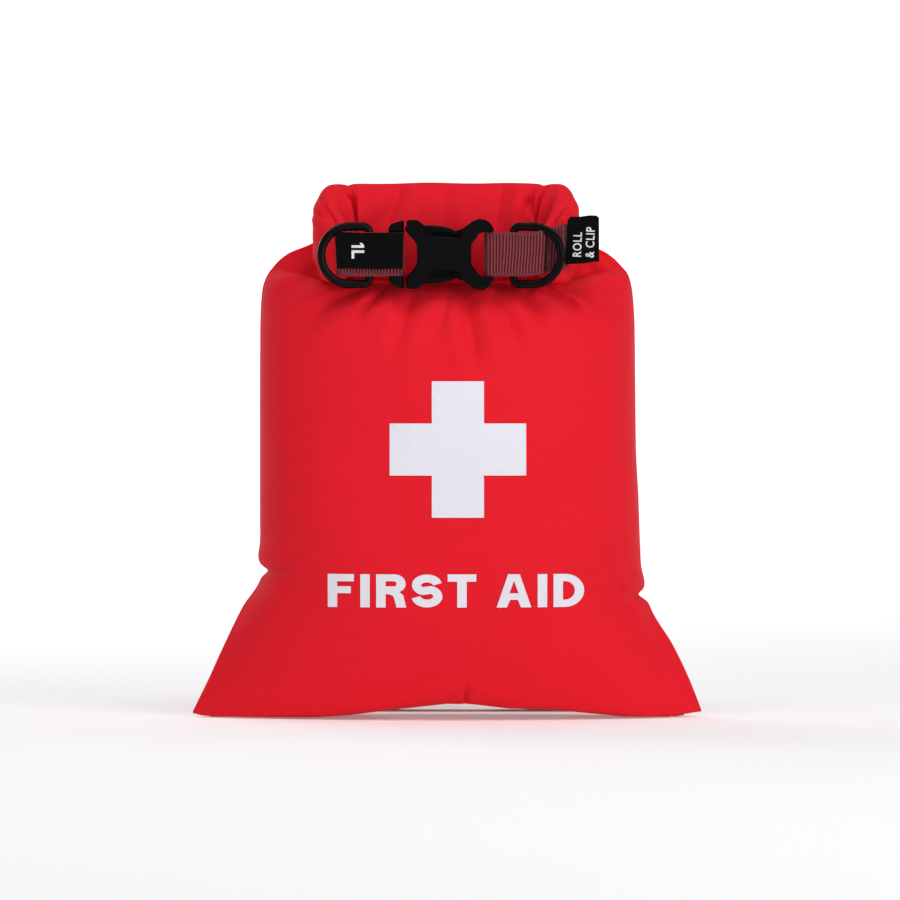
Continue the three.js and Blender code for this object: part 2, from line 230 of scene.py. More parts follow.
WEBBING = ribbed("maroon_webbing")
STRIP = plastic("mouth_strip", (0.02, 0.02, 0.022), 0.5)
STITCH = weave("maroon_thread", (0.10, 0.02, 0.025), (0.30, 0.08, 0.09), 1800)


# ---------------------------------------------------------------- mesh helpers
def new_object(name, mesh, material, smooth=True):
    made = bpy.data.objects.new(name, mesh)
    bpy.context.collection.objects.link(made)
    mesh.materials.append(material)
    if smooth:
        mesh.shade_smooth()
    return made


def mesh_of(name, points, faces, uvs=None):
    """points in millimetres."""
    mesh = bpy.data.meshes.new(name)
    mesh.from_pydata((np.asarray(points, float) * MM).tolist(), [], [list(map(int, f)) for f in faces])
    if uvs is not None:
        layer = mesh.uv_layers.new(name="UVMap")
        loops = np.zeros(len(mesh.loops), int)
        mesh.loops.foreach_get("vertex_index", loops)
        layer.data.foreach_set("uv", np.asarray(uvs, np.float32)[loops].ravel())
    mesh.update()
    return mesh


def face_out(mesh, weld=0):
    """Turns all faces outwards, after joining points closer than weld metres."""
    fixer = bmesh.new()
    fixer.from_mesh(mesh)
    if weld:
        bmesh.ops.remove_doubles(fixer, verts=fixer.verts[:], dist=weld)
    bmesh.ops.recalc_face_normals(fixer, faces=fixer.faces[:])
    fixer.to_mesh(mesh)
    fixer.free()


def evaluated(obj):
    """A new mesh of an object as its modifiers or curve settings leave it."""
    bpy.context.view_layer.update()
    return bpy.data.meshes.new_from_object(obj.evaluated_get(bpy.context.evaluated_depsgraph_get()))


def apply_modifiers(obj):
    done = evaluated(obj)
    obj.modifiers.clear()
    obj.data = done
    return obj


def thicken(obj, thickness):
    """Gives a sheet its thickness in millimetres, half to each side."""
    solid = obj.modifiers.new("thickness", "SOLIDIFY")
    solid.thickness = thickness * MM
    solid.offset = 0
    apply_modifiers(obj)


def distances(p):
    """Running length along a row of points."""
    return np.concatenate([[0], np.cumsum(np.linalg.norm(np.diff(p, axis=0), axis=1))])


def grid_faces(rows, cols, base=0, flip=False):
    i, j = np.meshgrid(np.arange(rows), np.arange(cols), indexing="ij")
    a = base + i * (cols + 1) + j
    quads = np.stack([a, a + 1, a + cols + 2, a + cols + 1], -1).reshape(-1, 4)
    return (quads[:, ::-1] if flip else quads).tolist()


def tube_faces(rings, sides, closed=False):
    """Quads between rings of points, with a cap at each end unless the last ring meets the first."""
    quads = [(i * sides + j, i * sides + (j + 1) % sides,
              (i + 1) % rings * sides + (j + 1) % sides, (i + 1) % rings * sides + j)
             for i in range(rings if closed else rings - 1) for j in range(sides)]
    if closed:
        return quads
    return quads + [list(range(sides))[::-1], list(range((rings - 1) * sides, rings * sides))]


def finish_piece(obj, body, slot, *nodes):
    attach(obj, body)
    if nodes:
        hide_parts(*nodes)
    return obj


def bevelled(obj, width, segments=2, angle=35, harden=True):
    """Rounds the edges of a hard piece and keeps its flats flat."""
    bevel = obj.modifiers.new("bevel", "BEVEL")
    bevel.width = width * MM
    bevel.segments = segments
    bevel.limit_method = "ANGLE"
    bevel.angle_limit = math.radians(angle)
    bevel.harden_normals = harden
    return apply_modifiers(obj)


def extrude(outline, y0, y1, holes=()):
    """A plate in X and Z between two depths, with holes, as (points, faces)."""
    mesh = bmesh.new()
    edges = []
    for ring in (outline, *holes):
        verts = [mesh.verts.new((x, y0, z)) for x, z in ring]
        edges += [mesh.edges.new((verts[i], verts[(i + 1) % len(verts)])) for i in range(len(verts))]
    bmesh.ops.triangle_fill(mesh, use_beauty=True, use_dissolve=True, edges=edges)
    out = bmesh.ops.extrude_face_region(mesh, geom=mesh.faces[:])
    moved = [v for v in out["geom"] if isinstance(v, bmesh.types.BMVert)]
    bmesh.ops.translate(mesh, verts=moved, vec=(0, y1 - y0, 0))
    bmesh.ops.recalc_face_normals(mesh, faces=mesh.faces[:])
    mesh.verts.ensure_lookup_table()
    mesh.verts.index_update()
    points = [tuple(v.co) for v in mesh.verts]
    faces = [[v.index for v in f.verts] for f in mesh.faces]
    mesh.free()
    return np.array(points), faces


def arc(cx, cz, r, start, stop, steps=8):
    return [(cx + r * math.cos(math.radians(a)), cz + r * math.sin(math.radians(a)))
            for a in np.linspace(start, stop, steps + 1)]


def smoothstep(x, low, high):
    t = np.clip((x - low) / (high - low), 0, 1)
    return t * t * (3 - 2 * t)


def hills(x, z, waves, seed):
    """Smooth repeatable unevenness, roughly from -1 to 1."""
    rng = np.random.RandomState(seed)
    total = np.zeros_like(x)
    for _ in range(waves):
        kx, kz = rng.uniform(-1, 1, 2)
        total += np.sin(kx * x + kz * z + rng.uniform(0, 6.28))
    return total / math.sqrt(waves)


# ---------------------------------------------------------------- cloth relaxation
def pull(a, b, rest, stiffness):
    """Moves each pair of points towards its rest length, half the way each."""
    d = b - a
    n = np.sqrt((d * d).sum(-1)) + 1e-9
    move = d * (0.5 * stiffness * (n - rest) / n)[..., None]
    a += move
    b -= move


def cloth_groups(p):
    """Views of every pair of neighbours in a grid of points: along rows, along columns and both diagonals."""
    pairs = []
    for s in (0, 1):
        cols, rows = p[:, s:-1:2], p[s:-1:2]
        pairs.append((cols, p[:, s + 1::2][:, :cols.shape[1]], "u"))
        pairs.append((rows, p[s + 1::2][:rows.shape[0]], "v"))
        for low, high in ((p[:-1, s:-1:2], p[1:, s + 1::2]), (p[1:, s:-1:2], p[:-1, s + 1::2])):
            pairs.append((low, high[:, :low.shape[1]], "d"))
    return pairs


def rest_lengths(guide, more_u, more_v):
    """Lengths of the guide's own edges, with the spare fabric given for each point."""
    rests = []
    for (a, b, kind), (u, _, _), (v, _, _) in zip(
            cloth_groups(guide), cloth_groups(more_u[..., None]), cloth_groups(more_v[..., None])):
        length = np.sqrt(((b - a) ** 2).sum(-1))
        spare = {"u": u[..., 0], "v": v[..., 0], "d": 0.5 * (u[..., 0] + v[..., 0])}[kind]
        rests.append(length * (1 + spare))
    return rests


# ---------------------------------------------------------------- the stuffed body
SEAM_Y = 2.5
# height, left edge, right edge of the body as seen from the front
EDGE = np.array([
    (0, -85.8, 85.2), (2.7, -85.6, 85.0), (4.7, -84.7, 84.3), (8.7, -83, 83), (14.7, -79.7, 80.2),
    (20.7, -76.7, 77.2), (28.7, -72.7, 72.8), (32.7, -70.7, 70.3), (37, -68.4, 67.2),
    (40.7, -66.4, 64.6), (44.7, -63.9, 64.6), (48.7, -61.6, 64.8), (54, -62.2, 64.4), (60, -62.9, 64.0),
    (73, -62.7, 63.6), (86, -62.7, 62.8), (110, -62.7, 62.5), (133, -62.6, 62.3), (140.7, -62.2, 61.7),
    (144.7, -61.6, 61.2), (147, -60.7, 60.5), (149, -59.5, 59.6), (151, -58.2, 58.0), (153, -56.2, 55.9),
    (155, -53.4, 53.4), (157, -48.6, 49.8), (159, -44.2, 45.2), (162, -40.5, 40.0), (166, -37, 36.5),
    (172, -33.4, 32.4), (176, -30.6, 29.6)])
BASE = np.array([(-86, 0.9), (-79, -0.8), (-62, -0.7), (-46, -0.4), (-33, 0.5), (-19, 2.3), (0, 4.4), (8, 4.3),
                 (20, 2.8), (36, 2.2), (54, 0.5), (66, -0.6), (76, 0), (85, 1.4)])
# For each row of the pattern: front height and reach, back height and reach, seam height, fullness.
ROWS = np.array([
    (0, 0, 0, 0, 0, 1.0),
    (0.2, 12, 0.2, 11, 0.1, 1.0),
    (0.9, 21, 0.9, 18, 0.5, 1.0),
    (4.5, 26.5, 4.5, 23, 3, 0.97),
    (12, 30.5, 12, 27, 12, 0.92),
    (24, 34.5, 24, 31, 24, 0.8),
    (36, 37.2, 36, 33.5, 36, 0.66),
    (48, 38.6, 48, 34.6, 47, 0.54),
    (60, 39.2, 60, 35, 58, 0.46),
    (76, 39.4, 76, 35.2, 74, 0.43),
    (92, 39.4, 92, 35.2, 90, 0.42),
    (106, 39.2, 107, 35.2, 105, 0.42),
    (118, 38.6, 120, 35.0, 118, 0.42),
    (128, 36.9, 131, 34.4, 129, 0.43),
    (136.5, 33.0, 140, 32.8, 137, 0.46),
    (142.5, 27.5, 147, 29.5, 143, 0.5),
    (145.6, 20.0, 152.3, 23.5, 148, 0.55),
    (143.7, 5.6, 156, 16.5, 152, 0.6),
    (147.0, 1.6, 159, 9.5, 155, 0.7),
    (153.5, 0.9, 162, 3.6, 158.6, 0.85),
    (163.0, 0.9, 167, 1.2, 164.5, 1.0),
    (172.0, 0.9, 172.4, 0.9, 172.2, 1.0),
    (174.6, 0.3, 174.9, 0.3, 174.8, 1.0),
    (175.6, 0.2, 175.9, 0.2, 175.8, 1.0),
])
LEAN = {19: 1.7, 20: 1.1, 21: 0.8, 22: -2.6, 23: -6.0}  # the neck's last rows fold forwards over the roll
NU, NV = ((172, 246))


def body_guide():
    """The front and back panels as rows of points, and the distance up the fabric of each row."""
    u = np.linspace(-1, 1, NU + 1)
    power = 2.5
    front, rear = [], []
    for k, (zf, df, zb, db, zs, full) in enumerate(ROWS):
        fine = np.linspace(0, math.pi, 721)
        height = zs + 2.2 * max(0, 1 - zs / 26)
        left, right = np.interp(height, EDGE[:, 0], EDGE[:, 1]), np.interp(height, EDGE[:, 0], EDGE[:, 2])
        for panel, z, reach, side in ((front, zf, df, -1), (rear, zb, db, 1)):
            c = -np.cos(fine)
            x = np.where(c < 0, -left, right) * c
            depth = reach * np.maximum(1 - np.abs(c) ** power, 0) ** full
            s = np.concatenate([[0], np.cumsum(np.hypot(np.diff(x), np.diff(depth)))])
            at = np.interp(u, s / s[-1] * 2 - 1, fine)
            c = -np.cos(at)
            x = np.where(c < 0, -left, right) * c
            depth = reach * np.maximum(1 - np.abs(c) ** power, 0) ** full
            y = np.full_like(x, SEAM_Y) + side * (depth + 0.25 * (1 - np.abs(c) ** 8))
            if k in LEAN:
                y += LEAN[k] - SEAM_Y
            tall = z + (zs - z) * np.abs(u) ** 4
            tall = tall + np.interp(x, BASE[:, 0], BASE[:, 1]) * max(0, 1 - z / 26)
            if side < 0 and 14 < k < 19:
                tall = tall + 2.4 * smoothstep(np.abs(x), 42, 54) * (1 - np.abs(u) ** 6)
            panel.append(np.stack([x, y, tall], -1))
    front, rear = np.array(front), np.array(rear)
    middle = NU // 2
    steps = [np.linalg.norm(np.diff(p[:, middle], axis=0), axis=1) for p in (front, rear)]
    s = np.concatenate([[0], np.cumsum(0.5 * (steps[0] + steps[1]))])
    t = np.linspace(0, s[-1], NV + 1)
    return [spline(s, p, t) for p in (front, rear)], t


def spline(s, p, t):
    """Monotone cubic through the rows, so that no row overshoots."""
    h = np.diff(s)[:, None, None]
    d = np.diff(p, axis=0) / h
    m = np.zeros_like(p)
    w1, w2 = 2 * h[1:] + h[:-1], h[1:] + 2 * h[:-1]
    with np.errstate(divide="ignore", invalid="ignore"):
        inner = (w1 + w2) / (w1 / d[:-1] + w2 / d[1:])
    m[1:-1] = np.where(d[:-1] * d[1:] > 0, np.nan_to_num(inner), 0)
    m[0], m[-1] = d[0], d[-1]
    i = np.clip(np.searchsorted(s, t, side="right") - 1, 0, len(s) - 2)
    x = ((t - s[i]) / np.diff(s)[i])[:, None, None]
    hh = h[i]
    return ((2 * x**3 - 3 * x**2 + 1) * p[i] + (x**3 - 2 * x**2 + x) * hh * m[i]
            + (-2 * x**3 + 3 * x**2) * p[i + 1] + (x**3 - x**2) * hh * m[i + 1])


def from_line(x, z, start, stop):
    """Distance along the line from start to stop, distance off it, and its length."""
    along = np.subtract(stop, start).astype(float)
    length = np.linalg.norm(along)
    along /= length
    x, z = x - start[0], z - start[1]
    return x * along[0] + z * along[1], z * along[0] - x * along[1], length


def groove(p, start, stop, width, depth):
    """A crease on a panel: a valley from start to stop, each (x, z), fading over the last third."""
    t, off, length = from_line(p[..., 0], p[..., 2], start, stop)
    reach = smoothstep(t, -width, width) * (1 - smoothstep(t, length * 0.65 - width, length + width))
    valley = np.exp(-(np.abs(off) / width) ** 1.25)
    banks = np.exp(-((np.abs(off) - 2.3 * width) / (1.5 * width)) ** 2)
    return depth * (valley - 0.42 * banks) * reach


def make_body():
    """Relaxes both panels as cloth held to the guide, joined along the sides and the base."""
    (front, rear), t = body_guide()
    u = np.linspace(-1, 1, NU + 1)[None, :] * np.ones((NV + 1, 1))
    guides = []
    for side, g in ((-1, front), (1, rear)):
        z, x = g[..., 2], g[..., 0]
        full = smoothstep(z, 6, 30) * (1 - smoothstep(z, 138, 150)) * (1 - np.abs(u) ** 8)
        g[..., 1] += side * 0.5 * full * hills(x * 0.10, z * 0.10, 10, 7 + side)
        dent = sum(groove(g, *crease) for crease in (CREASES if side < 0 else BACK_CREASES))
        g[..., 1] -= side * dent * (1 - np.abs(u) ** 10)
        guides.append(g)
    # the side seams buckle inwards where the stuffed body turns into the flat corners
    for g in guides:
        z = g[..., 2]
        for sign, height in ((-1, 48.7), (1, 40.6)):
            edge = smoothstep(sign * u, 0.72, 1.0)
            g[..., 0] -= sign * 2.6 * edge * np.exp(-((z - height) / 1.7) ** 2)
            g[..., 0] += sign * 0.7 * edge * np.exp(-((z - height - 5) / 3.0) ** 2)
    guides[1][:, 0], guides[1][:, -1], guides[1][0] = guides[0][:, 0], guides[0][:, -1], guides[0][0]
    # spare fabric: it puckers along the seams, gathers on the shoulders and stays smooth under the print
    states, rests, holds = [], [], []
    for side, g in zip((-1, 1), guides):
        z, x = g[..., 2], g[..., 0]
        rim = smoothstep(np.abs(u), 0.70, 0.98)
        low = 1 - smoothstep(z, 4, 34)
        top = smoothstep(z, 122, 141)
        more_v = 0.002 + 0.020 * rim * smoothstep(z, 8, 26) * (1 - 0.6 * smoothstep(z, 60, 80)) + 0.03 * rim * top
        more_u = 0.002 + 0.014 * low * (1 - rim) + 0.05 * top * (1 - rim)
        rests.append(rest_lengths(g, more_u, more_v))
        hold = 0.030 + 0.08 * (1 - smoothstep(z, 0.5, 5)) + 0.5 * smoothstep(z, 160, 170)
        hold = hold + 0.05 * smoothstep(np.abs(u), 0.97, 1.0)
        holds.append(hold[..., None])
        jitter = np.stack([0.10 * hills(x * 0.9, z * 0.9, 12, 31 + side), 0.35 * hills(x * 0.5, z * 0.5, 14, 41 + side),
                           0.10 * hills(x * 0.8, z * 0.8, 12, 51 + side)], -1)
        states.append(g + jitter * (1 - smoothstep(z, 165, 172))[..., None])
    rounds = 220
    groups = [cloth_groups(p) for p in states]
    for step in range(rounds):
        for p, g, rest, hold, pairs in zip(states, guides, rests, holds, groups):
            for (a, b, _), length in zip(pairs, rest):
                pull(a, b, length, 0.7)
            p += hold * (g - p)
            inner = p[1:-1, 1:-1]
            soft = 0.25 * (p[:-2, 1:-1] + p[2:, 1:-1] + p[1:-1, :-2] + p[1:-1, 2:])
            inner += (0.03 if step < rounds - 8 else 0.12) * (soft - inner)
            np.maximum(p[..., 2], 0.05, out=p[..., 2])
        for edge in (np.s_[:, 0], np.s_[:, -1], np.s_[0]):
            mean = 0.5 * (states[0][edge] + states[1][edge])
            states[0][edge] = mean
            states[1][edge] = mean
    return states, t


CREASES = [
    # start (x, z), end (x, z), width, depth
    ((-62.5, 49.2), (-50, 51.0), 1.1, 2.6), ((-61, 48.5), (-44, 59), 2.6, 1.3), ((-62, 47), (-72, 28), 2.8, 1.2),
    ((-60, 47.5), (-49, 41), 2.6, 0.8), ((-62, 60), (-54, 66), 2.4, 0.8), ((-62, 53), (-52, 55.5), 1.5, 0.8),
    ((65, 40.8), (54, 44.5), 1.1, 2.6), ((65, 40.2), (54, 33), 1.8, 1.4), ((67, 38), (76, 20), 2.8, 1.2),
    ((64, 44), (55, 56), 2.4, 0.9), ((72, 26), (60, 22), 3.0, 0.6), ((-75, 22), (-62, 20), 3.0, 0.6),
    ((5.6, 2.0), (6.2, 12), 1.0, 3.4), ((5, 7), (-9, 4.0), 1.4, 1.5), ((6.5, 7), (18, 4.6), 1.4, 1.5),
    ((-26, 144), (-45, 136), 1.2, 2.6), ((-21, 143), (-31, 133), 1.3, 2.0), ((-11, 143), (-19, 120), 2.2, 1.8),
    ((5, 143), (10, 114), 2.4, 2.4), ((1, 142), (-4, 127), 1.8, 1.2), ((15, 142), (25, 121), 2.0, 1.7),
    ((30, 145.5), (47, 134), 1.2, 3.0), ((25, 142), (34, 128), 1.6, 1.7), ((-44, 148), (-58, 140), 2.0, 1.4),
    ((47, 150), (60, 141), 1.8, 1.6), ((-36, 141), (-52, 126), 2.6, 0.8), ((38, 138), (54, 125), 2.8, 0.8),
    ((-50, 150), (-60, 147), 1.2, 0.9), ((48, 156.5), (61, 148.5), 1.0, 1.8),
]

BACK_CREASES = [
    ((-62.5, 49.2), (-49, 50.5), 1.1, 2.6), ((-61, 48.5), (-46, 60), 2.6, 1.2), ((-62, 47), (-71, 28), 2.8, 1.2),
    ((-60, 47.5), (-50, 40), 2.4, 0.8), ((65, 40.8), (53, 43.5), 1.1, 2.6), ((65, 40.2), (55, 31), 1.8, 1.4),
    ((67, 38), (76, 20), 2.8, 1.2), ((64, 44), (54, 57), 2.4, 0.9), ((-34, 161), (-54, 145), 1.7, 2.3),
    ((-24, 163), (-38, 142), 2.0, 1.9), ((-11, 163), (-18, 134), 2.4, 2.2), ((1, 163), (-2, 139), 2.2, 1.3),
    ((10, 163), (18, 130), 2.5, 2.2), ((24, 163), (33, 140), 2.0, 1.7), ((33, 161), (55, 144), 1.7, 2.4),
    ((-3, 2.0), (-3.5, 13), 1.2, 2.6), ((-3, 6), (-16, 3.5), 1.4, 1.2), ((-2, 6), (12, 4), 1.4, 1.2),
]
(front, rear), rows_t = make_body()
columns = np.linspace(-85, 85, NU + 1)


count = (NV + 1) * (NU + 1)
points = np.concatenate([front.reshape(-1, 3), rear.reshape(-1, 3)])
uu, tt = np.meshgrid(columns * MM, rows_t * MM)
flat = np.stack([uu.ravel(), tt.ravel()], -1)
last = NV * (NU + 1)
lid = [(j, j + 1, j + 1 + count, j + count) for j in range(last, last + NU)]
body_mesh = mesh_of("bag_body", points, grid_faces(NV, NU) + grid_faces(NV, NU, count, True) + lid,
                    np.concatenate([flat, flat + (0.5, 0)]))
face_out(body_mesh, weld=1e-6)
body = new_object("bag_body", body_mesh, RED)
finish_piece(body, "bag", "bag_fabric", "front_panel", "back_panel")


def skin(obj):
    """The surface of a piece, for laying prints on it."""
    mesh = bmesh.new()
    mesh.from_mesh(obj.data)
    tree = BVHTree.FromBMesh(mesh)
    mesh.free()
    return tree


body_skin = skin(body)


def seam_band(name, rows, start, width):
    """The pressed seam allowance: a thin band along one edge of the front, between two distances from the edge."""
    strip = []
    for row in rows:
        s = distances(row)
        at = start + width * np.array([0.0, 0.12, 0.35, 0.65, 0.88, 1.0])
        strip.append([[np.interp(d, s, row[:, k]) for k in range(3)] for d in at])
    strip = np.array(strip)
    along, across = np.gradient(strip, axis=0), np.gradient(strip, axis=1)
    normal = np.cross(along, across)
    normal /= np.linalg.norm(normal, axis=2)[..., None] + 1e-9
    normal *= np.sign(-normal[..., 1:2] + 1e-9)
    rise = np.array([-0.1, 0.20, 0.30, 0.30, 0.22, -0.1])
    points = (strip + normal * rise[None, :, None]).reshape(-1, 3)
    finish_piece(new_object(name, mesh_of(name, points, grid_faces(len(rows) - 1, 5)), RED), "bag", "bag_fabric")


span = np.where((front[:, 0, 2] > 6) & (front[:, 0, 2] < 152))[0]
seam_band("left_seam_band", front[span, :8], 0.5, 1.3)
seam_band("right_seam_band", front[span, -8:][:, ::-1], 0.5, 1.3)
seam_band("bottom_seam_band", front[:8, 6:-6].transpose(1, 0, 2), 0.4, 1.1)


# ---------------------------------------------------------------- prints on the front
def stroke(path, width):
    """Both sides of a thick line through points, as one outline."""
    p = np.array(path, float)
    d = np.gradient(p, axis=0)
    d /= np.linalg.norm(d, axis=1)[:, None]
    n = np.stack([-d[:, 1], d[:, 0]], -1) * width / 2
    return [*(p + n).tolist(), *(p - n)[::-1].tolist()]


def half_round(cx, cz, rx, rz, count):
    """The right half of an ellipse, from its lowest point to its highest."""
    return [(cx + rx * math.cos(a), cz + rz * math.sin(a)) for a in np.linspace(-math.pi / 2, math.pi / 2, count)]


def letters(word, height, stem):
    """Plain bold capitals of the given height, each as a list of closed outlines."""
    h, s = height, stem
    shapes = {
        "F": (0.68 * h, [[(0, 0), (s, 0), (s, h * 0.42), (0.60 * h, h * 0.42), (0.60 * h, h * 0.42 + 0.86 * s),
                          (s, h * 0.42 + 0.86 * s), (s, h - 0.9 * s), (0.68 * h, h - 0.9 * s), (0.68 * h, h), (0, h)]]),
        "I": (s, [[(0, 0), (s, 0), (s, h), (0, h)]]),
        "T": (0.74 * h, [[(0.37 * h - s / 2, 0), (0.37 * h + s / 2, 0), (0.37 * h + s / 2, h - 0.9 * s),
                          (0.74 * h, h - 0.9 * s), (0.74 * h, h), (0, h), (0, h - 0.9 * s),
                          (0.37 * h - s / 2, h - 0.9 * s)]]),
        "A": (0.90 * h, [[(0, 0), (s * 1.08, 0), (s * 1.08 + 0.085 * h, 0.23 * h), (0.815 * h - s * 1.08, 0.23 * h),
                          (0.90 * h - s * 1.08, 0), (0.90 * h, 0), (0.45 * h + s * 0.62, h), (0.45 * h - s * 0.62, h)],
                         [(0.33 * h, 0.23 * h + 0.8 * s), (0.57 * h, 0.23 * h + 0.8 * s), (0.45 * h, 0.80 * h)]]),
    }
    wide, r = 0.80 * h, 0.5 * h
    bowl = half_round(wide - r, r, r, r, 17)
    inner = half_round(wide - r, r, r - s, r - 0.9 * s, 17)
    shapes["D"] = (wide, [[(0, 0), *bowl, (0, h)], [(s, 0.9 * s), *inner, (s, h - 0.9 * s)]])
    mid = 0.43 * h
    r = (h - mid) / 2
    wide = 0.78 * h
    bowl = half_round(0.48 * h, mid + r, r, r, 15)
    inner = half_round(0.48 * h, mid + r, r - s * 0.98, r - 0.85 * s, 13)
    shapes["R"] = (wide, [[(0, 0), (s, 0), (s, mid - 0.03 * h), (0.34 * h, mid - 0.03 * h), (0.44 * h, mid - 0.08 * h),
                           (0.475 * h, 0.24 * h), (0.53 * h, 0), (wide, 0), (0.735 * h, 0.20 * h),
                           (0.70 * h, mid - 0.05 * h), (0.60 * h, mid + 0.035 * h), *bowl[4:], (0, h)],
                          [(s, mid + 0.85 * s), *inner, (s, h - 0.85 * s)]])
    a = np.linspace(0.12, math.pi * 1.5, 22)
    rx, rt, rb = 0.27 * h, 0.255 * h, 0.275 * h
    upper = np.stack([0.37 * h + rx * np.cos(a), h - 0.5 * s - rt * 0.78 + rt * 0.78 * np.sin(a)], -1)
    b = np.linspace(math.pi * 0.5, -math.pi + 0.12, 22)
    lower = np.stack([0.37 * h + rx * 1.04 * np.cos(b), 0.5 * s + rb * 0.78 + rb * 0.78 * np.sin(b)], -1)
    knot = 0.5 * (upper[-1] + lower[0])
    shapes["S"] = (0.74 * h, [stroke([*upper[:-2], knot, *lower[2:]], 0.97 * s)])
    placed, at = [], 0.0
    for letter in word:
        if letter == " ":
            at += 0.36 * h
            continue
        wide, outlines = shapes[letter]
        placed.append([[(x + at, z) for x, z in ring] for ring in outlines])
        at += wide + 0.165 * h
    return placed, at - 0.165 * h


PRINT_LIFT = 0.16  # thickness of the print above the fabric


def lay_print(name, outlines, step=2.0):
    """Cuts flat outlines into small cells and lays them on the front of the body."""
    curve = bpy.data.curves.new(name, "CURVE")
    curve.dimensions = "2D"
    curve.fill_mode = "BOTH"
    for ring in outlines:
        line = curve.splines.new("POLY")
        line.points.add(len(ring) - 1)
        line.use_cyclic_u = True
        for point, (x, z) in zip(line.points, ring):
            point.co = (x, z, 0, 1)
    holder = bpy.data.objects.new(name, curve)
    bpy.context.collection.objects.link(holder)
    flat = evaluated(holder)
    bpy.data.objects.remove(holder)
    mesh = bmesh.new()
    mesh.from_mesh(flat)
    xs, zs = [v.co.x for v in mesh.verts], [v.co.y for v in mesh.verts]
    for axis, low, high in ((0, min(xs), max(xs)), (1, min(zs), max(zs))):
        for cut in np.arange(low + step, high, step):
            normal, place = Vector((0, 0, 0)), Vector((0, 0, 0))
            normal[axis], place[axis] = 1, cut
            bmesh.ops.bisect_plane(mesh, geom=mesh.verts[:] + mesh.edges[:] + mesh.faces[:],
                                   plane_co=place, plane_no=normal)
    bmesh.ops.remove_doubles(mesh, verts=mesh.verts[:], dist=1e-4)
    layer = mesh.loops.layers.uv.new("UVMap")
    for face in mesh.faces:
        for loop in face.loops:
            loop[layer].uv = (loop.vert.co.x * MM, loop.vert.co.y * MM)
    for vert in mesh.verts:
        start = Vector((vert.co.x * MM, -0.2, vert.co.y * MM))
        hit, normal, _, _ = body_skin.ray_cast(start, Vector((0, 1, 0)))
        vert.co = hit + (normal if normal.y < 0 else -normal) * PRINT_LIFT * MM
    for face in mesh.faces:
        face.normal_update()
        if face.normal.y > 0:
            face.normal_flip()
    made = bpy.data.meshes.new(name)
    mesh.to_mesh(made)
    mesh.free()
    finish_piece(new_object(name, made, PRINT), "bag", "print")


cx, cz, arm, half = 3.3, 89.8, 8.6, 22.5  # centre of the cross, half width and half length of its arms
lay_print("aid_cross", [[
    (cx + x, cz + z) for x, z in (
        (-arm, -half), (arm, -half), (arm, -arm), (half, -arm), (half, arm), (arm, arm),
        (arm, half), (-arm, half), (-arm, arm), (-half, arm), (-half, -arm), (-arm, -arm))]])
WORDS_LEFT, WORDS_FOOT, WORDS_WIDTH = -39.7, 37.6, 84.8
glyphs, width = letters("FIRST AID", 11.0, 2.7)
stretch = WORDS_WIDTH / width
for i, glyph in enumerate(glyphs):
    lay_print(f"lettering_{i + 1}",
              [[(WORDS_LEFT + x * stretch, WORDS_FOOT + z) for x, z in ring] for ring in glyph], step=1.6)

# ---------------------------------------------------------------- the rolled mouth
ROLL_MID = -0.65
ROLL_LINE_Y = -7.6
ROLL_Z = 161.2
SPARE = 4  # path kept beyond the roll's tip, for points that lean past it


def roll_path():
    """Plan points along the right half of the roll, with distance along it."""
    straight, radius, sweep, tail = 29.3, 8.5, math.radians(120), 9.0
    pts = [(x, ROLL_LINE_Y) for x in np.linspace(0, straight, 40)]
    centre = (straight, ROLL_LINE_Y - radius)
    pts += [(centre[0] + radius * math.sin(a), centre[1] + radius * math.cos(a)) for a in np.linspace(0, sweep, 40)[1:]]
    way = np.array([math.cos(sweep), -math.sin(sweep)])
    end = np.array(pts[-1])
    pts += [tuple(end + way * d) for d in np.linspace(0, tail + SPARE, 14)[1:]]
    pts = np.array(pts)
    s = distances(pts)
    return pts, s, s[-1] - SPARE


def fold(s, z, start, stop, width, depth):
    """A crease on the roll between two points, each (distance from the middle, height)."""
    t, off, length = from_line(s, z, start, stop)
    reach = smoothstep(t, -width, 1.5 * width) * (1 - smoothstep(t, length - 2 * width, length + width))
    valley = np.exp(-(np.abs(off) / width) ** 1.3)
    banks = np.exp(-((np.abs(off) - 2.2 * width) / (1.5 * width)) ** 2)
    return depth * (valley - 0.4 * banks) * reach


# creases by side of the roll: start and end as (distance from the middle, height), width, depth
INNER_FOLDS = {
    -1: [((36.5, 180), (35.5, 142), 2.0, 2.3), ((31.5, 179.5), (34.5, 173), 1.3, 1.4),
         ((35.5, 174), (31, 163), 1.4, 2.0), ((14.5, 179), (20.5, 163), 2.4, 1.9), ((23, 170), (25, 160), 2.4, 0.6),
         ((8.5, 176), (9.5, 164), 3.0, 0.4)],
    1: [((36.5, 180), (35.5, 142), 2.0, 2.3), ((30.0, 180), (25.0, 163), 1.7, 1.8), ((27, 173), (34, 161), 1.3, 1.3),
        ((19.0, 180), (16.0, 161), 2.6, 1.5), ((33, 178), (36, 170), 1.3, 1.0), ((9, 177), (9, 163), 3.0, 0.4)],
}
MIDDLE_FOLDS = [((0.5, 180), (-0.5, 160), 2.6, 0.9)]
OUTER_FOLDS = [((42.5, 174), (52, 163), 1.3, 1.5), ((42.5, 168.5), (48, 166.5), 1.0, 0.9),
               ((43, 158), (52, 156.5), 1.5, 0.6), ((42, 149), (52, 152), 1.5, 0.9), ((28, 179), (36, 174), 1.8, 0.5)]


